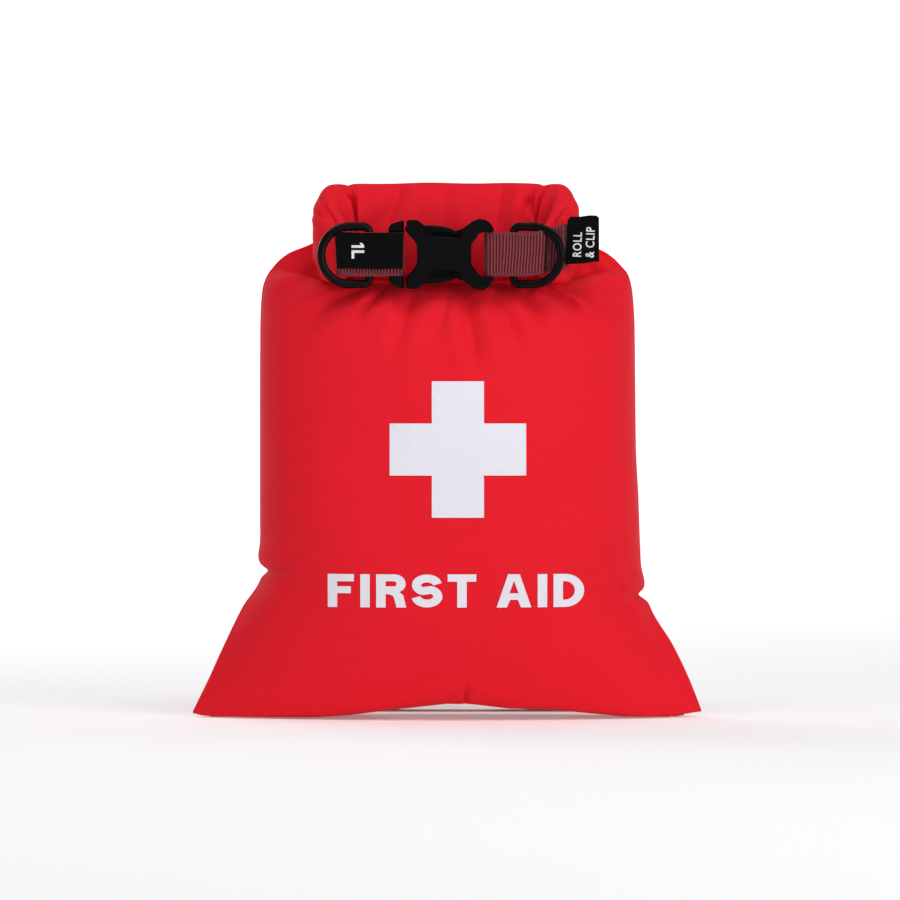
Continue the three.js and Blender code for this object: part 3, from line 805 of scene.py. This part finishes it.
def roll_guide(steps, around):
    """The rolled mouth as rings of points, with each ring's distance from the middle."""
    pts, s, length = roll_path()
    at = np.linspace(-length, length, steps + 1)
    far = np.abs(at)
    end = smoothstep(far, length - 17, length)
    thick = 6.9 + 0.2 * np.sin(at * 0.21 + 1) - 4.0 * end ** 1.5
    tall = 16.9 + 0.35 * np.cos(at * 0.06) - 8.0 * end ** 1.2 + 0.3 * hills(at * 0.3, at * 0, 5, 3)
    mid_z = ROLL_Z - 6.0 * end
    phi = np.linspace(0, 2 * math.pi, around, endpoint=False)
    c, sn = np.cos(phi), np.sin(phi)
    across = (np.sign(c) * np.abs(c) ** 0.82)[:, None]
    up = (np.sign(sn) * np.abs(sn) ** 0.86)[:, None]
    # the bend starts further out at the top, so its crease runs down and inwards
    ahead = smoothstep(-across, -0.1, 0.7)
    lean = 3.4 * up * ahead * smoothstep(far, 10, 26)[None, :] * (1 - 0.5 * end[None, :])
    along = far[None, :] - lean
    side = np.sign(at)[None, :]
    x, y = np.interp(along, s, pts[:, 0]), np.interp(along, s, pts[:, 1])
    ahead_x = np.interp(along + 0.4, s, pts[:, 0]) - np.interp(along - 0.4, s, pts[:, 0])
    ahead_y = np.interp(along + 0.4, s, pts[:, 1]) - np.interp(along - 0.4, s, pts[:, 1])
    size = np.hypot(ahead_x, ahead_y)
    out_x, out_y = -ahead_y / size, ahead_x / size
    z = mid_z[None, :] + tall * up
    dent = np.zeros_like(z)
    inner, outer = smoothstep(-across, 0.0, 0.5), smoothstep(across, 0.0, 0.5)
    for sign, folds in INNER_FOLDS.items():
        here = (side * sign > 0) | (side == 0)
        dent += inner * here * sum(fold(along, z, *f) for f in folds)
    dent += inner * sum(fold(at[None, :] + 0 * z, z, *f) for f in MIDDLE_FOLDS)
    dent -= outer * sum(fold(along, z, *f) for f in OUTER_FOLDS)
    reach = thick * across + dent
    px = side * (x + out_x * reach) + ROLL_MID
    py = y + out_y * reach
    dip = np.exp(-((far - 33.5) / 1.8) ** 2)[None, :] * smoothstep(up, 0.7, 1.0)
    return np.stack([px, py, z - 0.8 * dip], -1), at


def make_roll():
    """Relaxes the rolled mouth as cloth held to its guide."""
    steps, around = ((330, 130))
    g, at = roll_guide(steps, around)
    ring = np.concatenate([g, g[:1]], 0)
    bend = smoothstep(np.abs(at), 24, 32) * (1 - smoothstep(np.abs(at), 46, 50))
    gather = smoothstep(np.abs(at), 38, 50)
    more_u = 0.004 + (0.02 * bend + 0.02 * gather)[None, :] * np.ones(ring.shape[:2])
    more_v = 0.004 + (0.02 * bend + 0.06 * gather)[None, :] * np.ones(ring.shape[:2])
    rests = rest_lengths(ring, more_u, more_v)
    wobble = 0.12 * hills(ring[..., 0] * 0.9, ring[..., 2] * 0.6, 14, 77)
    p = ring + np.stack([0.3 * wobble, wobble, 0.2 * wobble], -1)
    p[-1] = p[0]
    groups = cloth_groups(p)
    rounds = 200
    for step in range(rounds):
        for (a, b, _), rest in zip(groups, rests):
            pull(a, b, rest, 0.6)
        p += 0.05 * (ring - p)
        seam = 0.5 * (p[0] + p[-1])
        p[0], p[-1] = seam, seam
        wide = np.concatenate([p[-2:-1], p, p[1:2]], 0)
        soft = 0.25 * (wide[:-2, 1:-1] + wide[2:, 1:-1] + p[:, :-2] + p[:, 2:])
        p[:, 1:-1] += (0.04 if step < rounds - 10 else 0.15) * (soft - p[:, 1:-1])
        np.minimum(p[..., 1], -0.55, out=p[..., 1])
    return p[:-1], at


roll, roll_at = make_roll()
around, stations = roll.shape[:2]


def roll_half(name, columns_of, side, shared):
    """One half of the rolled mouth: open at the cut in the middle, closed at the tip where the strap is sewn in."""
    keep = roll[:, columns_of]
    n = keep.shape[1]
    points = keep.reshape(-1, 3)
    quads = []
    for i in range(around):
        j = (i + 1) % around
        for k in range(n - 1):
            quads.append((i * n + k, i * n + k + 1, j * n + k + 1, j * n + k))
    girth = distances(keep[:, n // 2])
    uvs = np.stack(np.broadcast_arrays(roll_at[columns_of][None, :] * MM, girth[:, None] * MM), -1).reshape(-1, 2)
    tip = np.arange(around) * n + (n - 1 if side > 0 else 0)
    inner = len(points) + np.arange(around)
    middle = points[tip].mean(0)
    points = np.concatenate([points, points[tip] * 0.35 + middle * 0.65, [middle]])
    uvs = np.concatenate([uvs, uvs[tip], [uvs[tip].mean(0)]])
    for i in range(around):
        j = (i + 1) % around
        quads.append((tip[i], tip[j], inner[j], inner[i]))
        quads.append((inner[i], inner[j], inner[-1] + 1))
    mesh = mesh_of(name, points, quads, uvs)
    face_out(mesh)
    return finish_piece(new_object(name, mesh, RED), "roll", "bag_fabric", *shared)


half_way = stations // 2
for name, cut, side, end, nodes in (
        ("roll_left_half", np.s_[:half_way + 1], -1, "left_end", ("roll_middle", "roll_left_end")),
        ("roll_right_half", np.s_[half_way:], 1, "right_end", ("roll_right_end",))):
    obj = roll_half(name, cut, side, nodes)
    world_matrix = obj.matrix_world.copy()
    obj.parent = None
    obj.matrix_world = world_matrix
    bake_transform(obj)


def mouth_strip(name, start, stop, body_name, node):
    """The stiff strip at the heart of the roll, between two distances from its middle."""
    pts, s, length = roll_path()
    at = np.linspace(start, stop, 40)
    x = np.sign(at) * np.interp(np.abs(at), s, pts[:, 0]) + ROLL_MID
    y = np.interp(np.abs(at), s, pts[:, 1])
    far = smoothstep(np.abs(at), length - 17, length)
    rows = [np.stack([x, y + 0.12 * v, ROLL_Z - 6.0 * far + v * (6.2 - 1.4 * far)], -1)
            for v in np.linspace(-1, 1, 9)]
    mesh = mesh_of(name, np.array(rows).reshape(-1, 3), grid_faces(8, 39))
    obj = new_object(name, mesh, STRIP)
    thicken(obj, 0.5)
    bevelled(obj, 0.12)
    finish_piece(obj, body_name, "mouth_strip", node)


mouth_strip("mouth_strip_core", -29, 29, "roll", "mouth_strip_middle")
mouth_strip("mouth_strip_left_core", -34, -50, "left_end", "mouth_strip_left")
mouth_strip("mouth_strip_right_core", 34, 50, "right_end", "mouth_strip_right")

# ---------------------------------------------------------------- closure: webbing, rings, buckle, labels
CLOSURE = np.array([-1.2, -31.3, 154.2])  # the buckle's centre; pieces below are placed from it
BAR, LOOP = 15.3, 2.2  # strap bar's distance from the centre, and half depth of the strap's loop round it
BAR_RADIUS, BAR_HALF = 0.62, 8.6
STRAP_WIDTH, STRAP_THICK, RIB = 14.6, 1.25, 1.0


def plan_path(points_list, spacing):
    """Evenly spaced points along a path, with their distances along it."""
    p = np.array(points_list, float)
    s = distances(p)
    at = np.linspace(0, s[-1], int(s[-1] / spacing) + 1)
    return np.stack([np.interp(at, s, p[:, 0]), np.interp(at, s, p[:, 1])], -1), at


def webbing(name, path, body_name, node, rise):
    """A woven strap along a plan path, with crosswise ribs on both faces and rolled edges."""
    line, at = plan_path(path, 0.16)
    for _ in range(6):
        line[1:-1] += 0.5 * (0.5 * (line[:-2] + line[2:]) - line[1:-1])
    way = np.gradient(line, axis=0)
    way /= np.linalg.norm(way, axis=1)[:, None]
    out = np.stack([-way[:, 1], way[:, 0]], -1)
    crest = (0.5 + 0.5 * np.cos(2 * math.pi * at / RIB)) ** 1.7
    profile = []  # (across thickness, height)
    half = STRAP_WIDTH / 2
    for face in (1, -1):
        profile += [(face, face * t * (half - 0.35)) for t in np.linspace(-1, 1, 15)]
        profile += [(face * across, face * (half - inset)) for across, inset in ((0.75, 0.05), (0, 0), (-0.75, 0.05))]
    profile = np.array(profile)
    n, m = len(profile), len(line)
    edge = np.abs(profile[:, 1]) > half - 0.9
    swell = STRAP_THICK / 2 - 0.16 + 0.16 * np.where(edge[None, :], 0.75, crest[:, None])
    pts = np.zeros((m, n, 3))
    pts[..., 0] = line[:, None, 0] + out[:, None, 0] * profile[None, :, 0] * swell
    pts[..., 1] = line[:, None, 1] + out[:, None, 1] * profile[None, :, 0] * swell
    lift = rise * smoothstep(np.abs(line[:, 0]), 27, 42)
    slant = 0.35 * np.sin(profile[:, 1] / half * 1.6 + 0.4)
    pts[..., 0] += slant[None, :] * smoothstep(np.abs(line[:, 0]), BAR + 1, BAR + 5)[:, None]
    pts[..., 2] = profile[None, :, 1] + lift[:, None]
    mesh = mesh_of(name, (pts + CLOSURE).reshape(-1, 3), tube_faces(m, n))
    face_out(mesh)
    # kept for the material: the rib crests get a painted highlight, the grooves painted shade, the rolled edges a
    # middle tone
    value = np.where(edge[None, :], 0.45, crest[:, None] * np.ones((m, n))).ravel()
    mesh.attributes.new("rib_painted_light", "FLOAT", "POINT").data.foreach_set("value", value.astype(np.float32))
    finish_piece(new_object(name, mesh, WEBBING), body_name, "webbing", node)


def strap_path(side, root, fold):
    """From its root on the roll, round the buckle's bar and back to a tucked-in fold."""
    path = [(root, LOOP + 0.1), (BAR + 2, LOOP)]
    path += [(BAR + 1.55 * math.cos(a), LOOP * math.sin(a)) for a in np.linspace(math.pi / 2, 1.5 * math.pi, 14)]
    path += [(fold, -LOOP - 0.15)]
    path += [(fold + 0.9 * math.cos(a), 0.9 - LOOP + 0.9 * math.sin(a))
             for a in np.linspace(-math.pi / 2, math.pi / 4, 8)]
    return [(side * x, y) for x, y in path]


webbing("left_webbing", strap_path(-1, 35.4, 33.6), "left_end", "left_strap", 0.8)
webbing("right_webbing", strap_path(1, 41.0, 31.6), "right_end", "right_strap", 3.0)


def bartack(name, x, lift):
    """Dense zigzag stitching across the right strap, in closure millimetres."""
    steps, low, high, y = 46, -6.6, 6.6, 1.42
    t = np.linspace(0, 1, steps)
    path = np.stack([x + 0.75 * np.where(np.arange(steps) % 2, 1, -1), np.full(steps, y),
                     low + (high - low) * t + lift], -1)
    line = []
    for a, b in zip(path[:-1], path[1:]):
        for f in np.linspace(0, 1, 6)[:-1]:
            line.append(a + (b - a) * f + np.array([0, -0.16 * math.sin(math.pi * f), 0]))
    line = np.array(line + [path[-1]])
    way = np.gradient(line, axis=0)
    way /= np.linalg.norm(way, axis=1)[:, None]
    over = np.array([0, -1.0, 0])
    aside = np.cross(way, over)
    aside /= np.linalg.norm(aside, axis=1)[:, None]
    turn = np.linspace(0, 2 * math.pi, 6, endpoint=False)
    pts = line[:, None] + 0.15 * (np.cos(turn)[None, :, None] * aside[:, None] + np.sin(turn)[None, :, None] * over)
    mesh = mesh_of(name, (pts + CLOSURE).reshape(-1, 3), tube_faces(len(line), 6))
    finish_piece(new_object(name, mesh, STITCH), "right_end", "webbing")


bartack("right_bartack", 34.4, 1.3)
bartack("right_bartack_outer", 39.4, 2.6)


def d_ring(name, side, x0, flat_run, body_name, node):
    """A D of flattened rod: its straight bar sits inside the strap at x0, its bow points outwards."""
    rise, corner = 9.5, 2.0
    tilt = math.radians(8)
    line = [(0, z) for z in np.linspace(-rise + corner, rise - corner, 9)]
    line += arc(corner, rise - corner, corner, 180, 90, 7)[1:]
    line += [(x, rise) for x in np.linspace(corner, flat_run, 5)[1:]]
    line += arc(flat_run, 0, rise, 90, -90, 40)[1:]
    line += [(x, -rise) for x in np.linspace(flat_run, corner, 5)[1:]]
    line += arc(corner, -rise + corner, corner, -90, -180, 7)[1:-1]
    line = np.array(line)
    way = np.roll(line, -1, 0) - np.roll(line, 1, 0)
    way /= np.linalg.norm(way, axis=1)[:, None]
    out2 = np.stack([-way[:, 1], way[:, 0]], -1)
    plane = np.array([side * math.cos(tilt), -math.sin(tilt), 0])
    thick = np.array([-plane[1], plane[0], 0])
    t = np.linspace(0, 2 * math.pi, 20, endpoint=False)
    a = 1.42 * np.sign(np.cos(t)) * np.abs(np.cos(t)) ** 0.72
    b = 1.38 * np.sign(np.sin(t)) * np.abs(np.sin(t)) ** 0.72
    pts = []
    for (x, z), (ox, oz) in zip(line, out2):
        inside = 1.0 if x > 1.2 else 0.95
        for p, q in zip(a, b):
            pts.append(plane * (x + ox * p * inside) + np.array([0, 0, z + oz * p * inside]) + thick * q * inside)
    pts = np.array(pts) + CLOSURE + np.array([side * x0, 0, -0.3])
    mesh = mesh_of(name, pts, tube_faces(len(line), 20, closed=True))
    face_out(mesh)
    finish_piece(new_object(name, mesh, BLACK), body_name, "black_plastic", node)


d_ring("left_ring_detail", -1, 24.8, 6.5, "left_ring", "left_d_ring")
d_ring("right_ring_detail", 1, 22.9, 6.3, "right_ring", "right_d_ring")


def mirror_z(points_list):
    return [(x, -z) for x, z in points_list][::-1]


def plate(outline, inner, outer, chamfer):
    """A moulded plate from inner to outer depth, its outer edges chamfered."""
    points, faces = extrude(outline, inner, outer)
    mesh = mesh_of("plate", points + CLOSURE, faces)
    obj = new_object("plate", mesh, BLACK, smooth=False)
    face_y = (CLOSURE[1] + outer) * MM
    reader = bmesh.new()
    reader.from_mesh(mesh)
    weights = [float(edge.calc_face_angle(0) > 0.5 and all(abs(v.co.y - face_y) < 1e-5 for v in edge.verts))
               for edge in reader.edges]
    reader.free()
    mesh.attributes.new("bevel_weight_edge", "FLOAT", "EDGE").data.foreach_set("value", weights)
    bevel = obj.modifiers.new("chamfer", "BEVEL")
    bevel.width = chamfer * MM
    bevel.segments = 1
    bevel.limit_method = "WEIGHT"
    return apply_modifiers(obj)


def block(points_and_faces):
    points, faces = points_and_faces
    return new_object("block", mesh_of("block", np.array(points) + CLOSURE, faces), BLACK, smooth=False)


LARGE_FACE = 3e-6  # square metres; larger faces of a moulding are shaded flat


def combine(name, parts, bevel, body_name, node):
    """Joins moulded plates into one piece with exact booleans, then softens its edges."""
    base = parts[0]
    base.name = base.data.name = name
    for part in parts[1:]:
        join = base.modifiers.new("join", "BOOLEAN")
        join.operation = "UNION"
        join.solver = "EXACT"
        join.object = part
        apply_modifiers(base)
        bpy.data.objects.remove(part)
    bevelled(base, bevel, angle=25, harden=False)
    base.name = name
    base.data.shade_smooth()
    base.data.set_sharp_from_angle(angle=math.radians(9))
    for face in base.data.polygons:
        face.use_smooth = face.area < LARGE_FACE
    base.data.materials.clear()
    base.data.materials.append(BLACK)
    return finish_piece(base, body_name, "black_plastic", node)


def strap_bar(x):
    sides = 24
    t = np.linspace(0, 2 * math.pi, sides, endpoint=False)
    ring = np.stack([x + BAR_RADIUS * np.cos(t), BAR_RADIUS * np.sin(t)], -1)
    return block(([(a, b, height) for height in (-BAR_HALF, BAR_HALF) for a, b in ring], tube_faces(2, sides)))


# socket half: two X-shaped plates with a wide chamfer, joined by corner posts, a core and the strap bar
socket_half = [(-9.0, 2.7), (-10.0, 4.7), (-12.4, 7.2), (-12.5, 11.0), (-12.1, 11.3), (-9.4, 11.4), (-8.6, 11.1),
               (-6.6, 9.6), (-6.4, 8.0), (-3.7, 5.4), (4.6, 5.4), (5.2, 7.7), (6.2, 8.6), (9.6, 11.1), (11.6, 11.7),
               (13.4, 11.5), (15.2, 10.3), (16.3, 8.6), (16.5, 7.6), (13.0, 7.4), (11.7, 7.0), (8.9, 3.2)]
outline = socket_half + mirror_z(socket_half)
post = [(-12.3, 9.75), (-8.4, 9.75), (-7.7, 10.2), (-9.5, 11.2), (-12.2, 11.1)]
horn = [(6.6, 4.8), (8.7, 3.3), (11.6, 7.2), (13.0, 7.55), (16.4, 7.7), (16.1, 8.6), (15.1, 10.1), (13.3, 11.3),
        (11.6, 11.5), (9.7, 10.9), (6.6, 8.6)]
rear_half = socket_half[:8] + [(-5.2, 8.3), (-2.4, 7.6), (2.6, 7.6), (4.8, 8.1)] + socket_half[12:]
rear_outline = rear_half + mirror_z(rear_half)
parts = [plate(outline, -1.98, -4.2, 1.05), plate(rear_outline, 1.98, 4.2, 0.9),
         block(extrude([(6.6, -5.0), (8.75, -3.2), (8.75, 3.2), (6.6, 5.0)], -3.0, 3.0))]
for turned in (list, mirror_z):
    parts += [block(extrude(turned(ring), -3.2, 3.2)) for ring in (post, horn)]
parts.append(strap_bar(BAR))
combine("socket_detail", parts, 0.20, "socket", "buckle_socket")

# plug half: fork arms and bar, then the two sprung prongs
fork = [(-18.3, 7.3), (-18.4, 8.7), (-17.5, 10.1), (-14.0, 11.2), (-13.3, 11.1), (-13.4, 8.7), (-13.1, 7.3)]
parts = []
for turned in (list, mirror_z):
    parts += [plate(turned(fork), 0.02, depth, 0.9) for depth in (-3.6, 3.6)]
parts.append(strap_bar(-BAR - 0.1))
combine("plug_detail", parts, 0.18, "plug", "buckle_plug_frame")

prong = [(-12.9, 7.5), (-9.4, 7.2), (-7.6, 6.2), (-5.6, 4.8), (4.2, 4.3), (5.4, 5.0), (5.2, 6.6), (4.2, 7.7),
         (1.4, 8.9), (-1.6, 9.5), (-4.6, 9.7), (-7.2, 9.6), (-9.8, 9.2), (-12.9, 9.3)]
relief = [(-4.4, 7.0), (-3.2, 5.9), (3.4, 5.6), (4.0, 6.1), (2.0, 7.2), (-1.2, 7.6)]
for name, turned, body_name, node in (("upper_prong_detail", list, "upper_prong", "buckle_upper_prong"),
                                      ("lower_prong_detail", mirror_z, "lower_prong", "buckle_lower_prong")):
    combine(name, [block(extrude(turned(prong), -1.7, 1.7, [turned(relief)]))], 0.42, body_name, node)


def ply(name, corners, depth, body_name, node, bow, fold_to=None):
    """A woven label between four corners (x, z), anticlockwise from lower left; fold_to adds its back ply."""
    def sheet(four, y):
        u, v = np.meshgrid(np.linspace(0, 1, 30), np.linspace(0, 1, 25), indexing="ij")
        a, b, c, d = (np.array(corner) for corner in four)
        low, high = a + (b - a) * u[..., None], d + (c - d) * u[..., None]
        xz = low + (high - low) * v[..., None]
        wave = bow * np.sin(u * 2.6 + 0.3) * (0.6 + 0.4 * np.sin(v * 3.5))
        edge = 0.10 * np.sin(u * 9 + v) * (np.abs(v - 0.5) * 2) ** 6
        return np.stack([xz[..., 0], y - wave, xz[..., 1] + edge], -1)

    cloth = sheet(corners, depth)
    if fold_to:
        rear = sheet(fold_to, depth + 1.0)[::-1]
        turn = []
        for angle in np.linspace(0, math.pi, 8)[1:-1]:
            mix = (1 - math.cos(angle)) / 2
            row = cloth[-1] * (1 - mix) + rear[0] * mix
            row[:, 0] += 0.45 * math.sin(angle)
            turn.append(row)
        cloth = np.concatenate([cloth, turn, rear])
    rows, cols = cloth.shape[:2]
    obj = new_object(name, mesh_of(name, cloth.reshape(-1, 3), grid_faces(rows - 1, cols - 1)), LABEL)
    thicken(obj, 0.3)
    obj.data.shade_smooth()
    finish_piece(obj, body_name, "label", node)


ply("size_label_detail", [(-36.6, 149.5), (-15.0, 149.3), (-14.8, 161.2), (-37.4, 161.5)], -34.72, "left_end",
    "size_label", bow=0.12)
ply("side_tag_detail", [(39.0, 150.8), (49.5, 151.8), (49.7, 166.2), (39.6, 165.9)], -30.3, "right_end",
    "side_tag", bow=0.2, fold_to=[(39.4, 151.6), (49.4, 152.2), (48.7, 167.2), (40.2, 166.6)])


def upright(place, turn):
    """Sets flat lettering upright in the front plane at place, turned by degrees."""
    return (Matrix.Translation(Vector(place) * MM) @ Matrix.Rotation(math.radians(90), 4, "X")
            @ Matrix.Rotation(math.radians(turn), 4, "Z"))


def thread_letters(name, outlines, place, turn, body_name):
    """Raised thread lettering from flat outlines."""
    mesh = bmesh.new()
    for ring in outlines:
        face = mesh.faces.new([mesh.verts.new((x * MM, z * MM, 0)) for x, z in ring])
        out = bmesh.ops.extrude_face_region(mesh, geom=[face])
        bmesh.ops.translate(mesh, verts=[v for v in out["geom"] if isinstance(v, bmesh.types.BMVert)],
                            vec=(0, 0, 0.14 * MM))
    bmesh.ops.recalc_face_normals(mesh, faces=mesh.faces[:])
    made = bpy.data.meshes.new(name)
    mesh.to_mesh(made)
    mesh.free()
    made.transform(upright(place, turn))
    finish_piece(new_object(name, made, THREAD, smooth=False), body_name, "print")


def woven_text(name, text, size, place, turn, body_name):
    """Raised thread lettering from a plain built-in face, a little narrower and bolder than drawn."""
    curve = bpy.data.curves.new(name, "FONT")
    curve.body = text
    curve.size = size * MM
    curve.extrude = 0.07 * MM
    curve.offset = 0.06 * MM
    curve.align_x = "LEFT"
    curve.align_y = "CENTER"
    curve.space_line = 1.05
    curve.space_character = 1.12
    holder = bpy.data.objects.new(name + "_curve", curve)
    bpy.context.collection.objects.link(holder)
    holder.matrix_world = upright(place, turn) @ Matrix.Diagonal((0.80, 1, 1, 1))
    mesh = evaluated(holder)
    mesh.transform(holder.matrix_world)
    bpy.data.objects.remove(holder)
    mesh.materials.clear()
    finish_piece(new_object(name, mesh, THREAD, smooth=False), body_name, "print")


ONE = [(0, 0), (0.85, 0), (0.85, 4.2), (0.1, 4.2), (-0.8, 3.4), (-0.8, 2.65), (0, 3.15)]
ELL = [(1.65, 0), (4.4, 0), (4.4, 0.9), (2.55, 0.9), (2.55, 4.2), (1.65, 4.2)]
thread_letters("size_letters", [ONE, ELL], (-31.8, -34.95, 157.2), -90, "left_end")
woven_text("tag_letters", "ROLL\n& CLIP", 4.0, (44.9, -30.72, 153.2), 88, "right_end")

# ---------------------------------------------------------------- supplies inside
INNER = {
    # node: material name, colour, roughness, metalness
    "rescue_blanket": ("gold_foil", (0.75, 0.5, 0.16), 0.25, 0.9),
    "triangular_bandage": ("white_wrap", (0.75, 0.76, 0.78), 0.5, 0),
    "elastic_bandage_wide": ("cotton", (0.72, 0.62, 0.47), 0.95, 0),
    "elastic_bandage_narrow": ("cotton_narrow", (0.72, 0.62, 0.47), 0.95, 0),
    "plaster_box": ("card_green", (0.06, 0.26, 0.12), 0.5, 0),
    "gauze_pack_upper": ("paper_upper", (0.74, 0.77, 0.8), 0.6, 0),
    "gauze_pack_lower": ("paper_lower", (0.74, 0.77, 0.8), 0.6, 0),
    "adhesive_tape": ("tape_cloth", (0.66, 0.52, 0.36), 0.85, 0),
    "tape_spool": ("spool_white", (0.8, 0.8, 0.8), 0.4, 0),
    "glove_pack": ("blue_film", (0.12, 0.35, 0.6), 0.3, 0),
}
for i in (1, 2, 3):
    INNER[f"wipe_sachet_{i}"] = (f"sachet_{i}", (0.7, 0.74, 0.78), 0.35, 0)
for edge, mark in (("bottom", "a"), ("left", "b"), ("right", "c")):
    INNER[f"{edge}_seam_tape"] = (f"tape_film_{mark}", (0.5, 0.5, 0.52), 0.35, 0)
for node, (name, color, roughness, metal) in INNER.items():
    shade = Shade(name, color, roughness, Metallic=metal)
    shade.vary(shade.noise(160, 3), tuple(c * 0.82 for c in color), color)
    shade.bump(shade.noise(700, 3), 0.0003, 0.4)
    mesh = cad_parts[node].data
    mesh.materials.clear()
    mesh.materials.append(shade.material)

# ---------------------------------------------------------------- floor
FLOOR_RADIUS, CURVE_RADIUS, FLOOR_Z, SPOKES = 2800, 900, -0.4, 96
profile = [(FLOOR_RADIUS * f, FLOOR_Z) for f in (0.1, 0.3, 0.6, 1.0)]
profile += [(FLOOR_RADIUS + CURVE_RADIUS * math.sin(a), FLOOR_Z + CURVE_RADIUS * (1 - math.cos(a)))
            for a in np.linspace(0, math.pi / 2, 25)[1:]]
spokes = np.linspace(0, 2 * math.pi, SPOKES, endpoint=False)
floor_points = [(0, 0, FLOOR_Z)] + [(r * math.cos(a), r * math.sin(a), z) for r, z in profile for a in spokes]
floor_faces = [(0, 1 + k, 1 + (k + 1) % SPOKES) for k in range(SPOKES)]
for ring in range(len(profile) - 1):
    low, high = 1 + ring * SPOKES, 1 + (ring + 1) * SPOKES
    floor_faces += [(low + k, high + k, high + (k + 1) % SPOKES, low + (k + 1) % SPOKES) for k in range(SPOKES)]
floor_shade = Shade("floor", (0.92, 0.92, 0.925), 0.75, Emission_Color=(1, 1, 1, 1), Emission_Strength=0.17)
floor = new_object("floor", mesh_of("floor", floor_points, floor_faces), floor_shade.material)

bpy.context.view_layer.update()
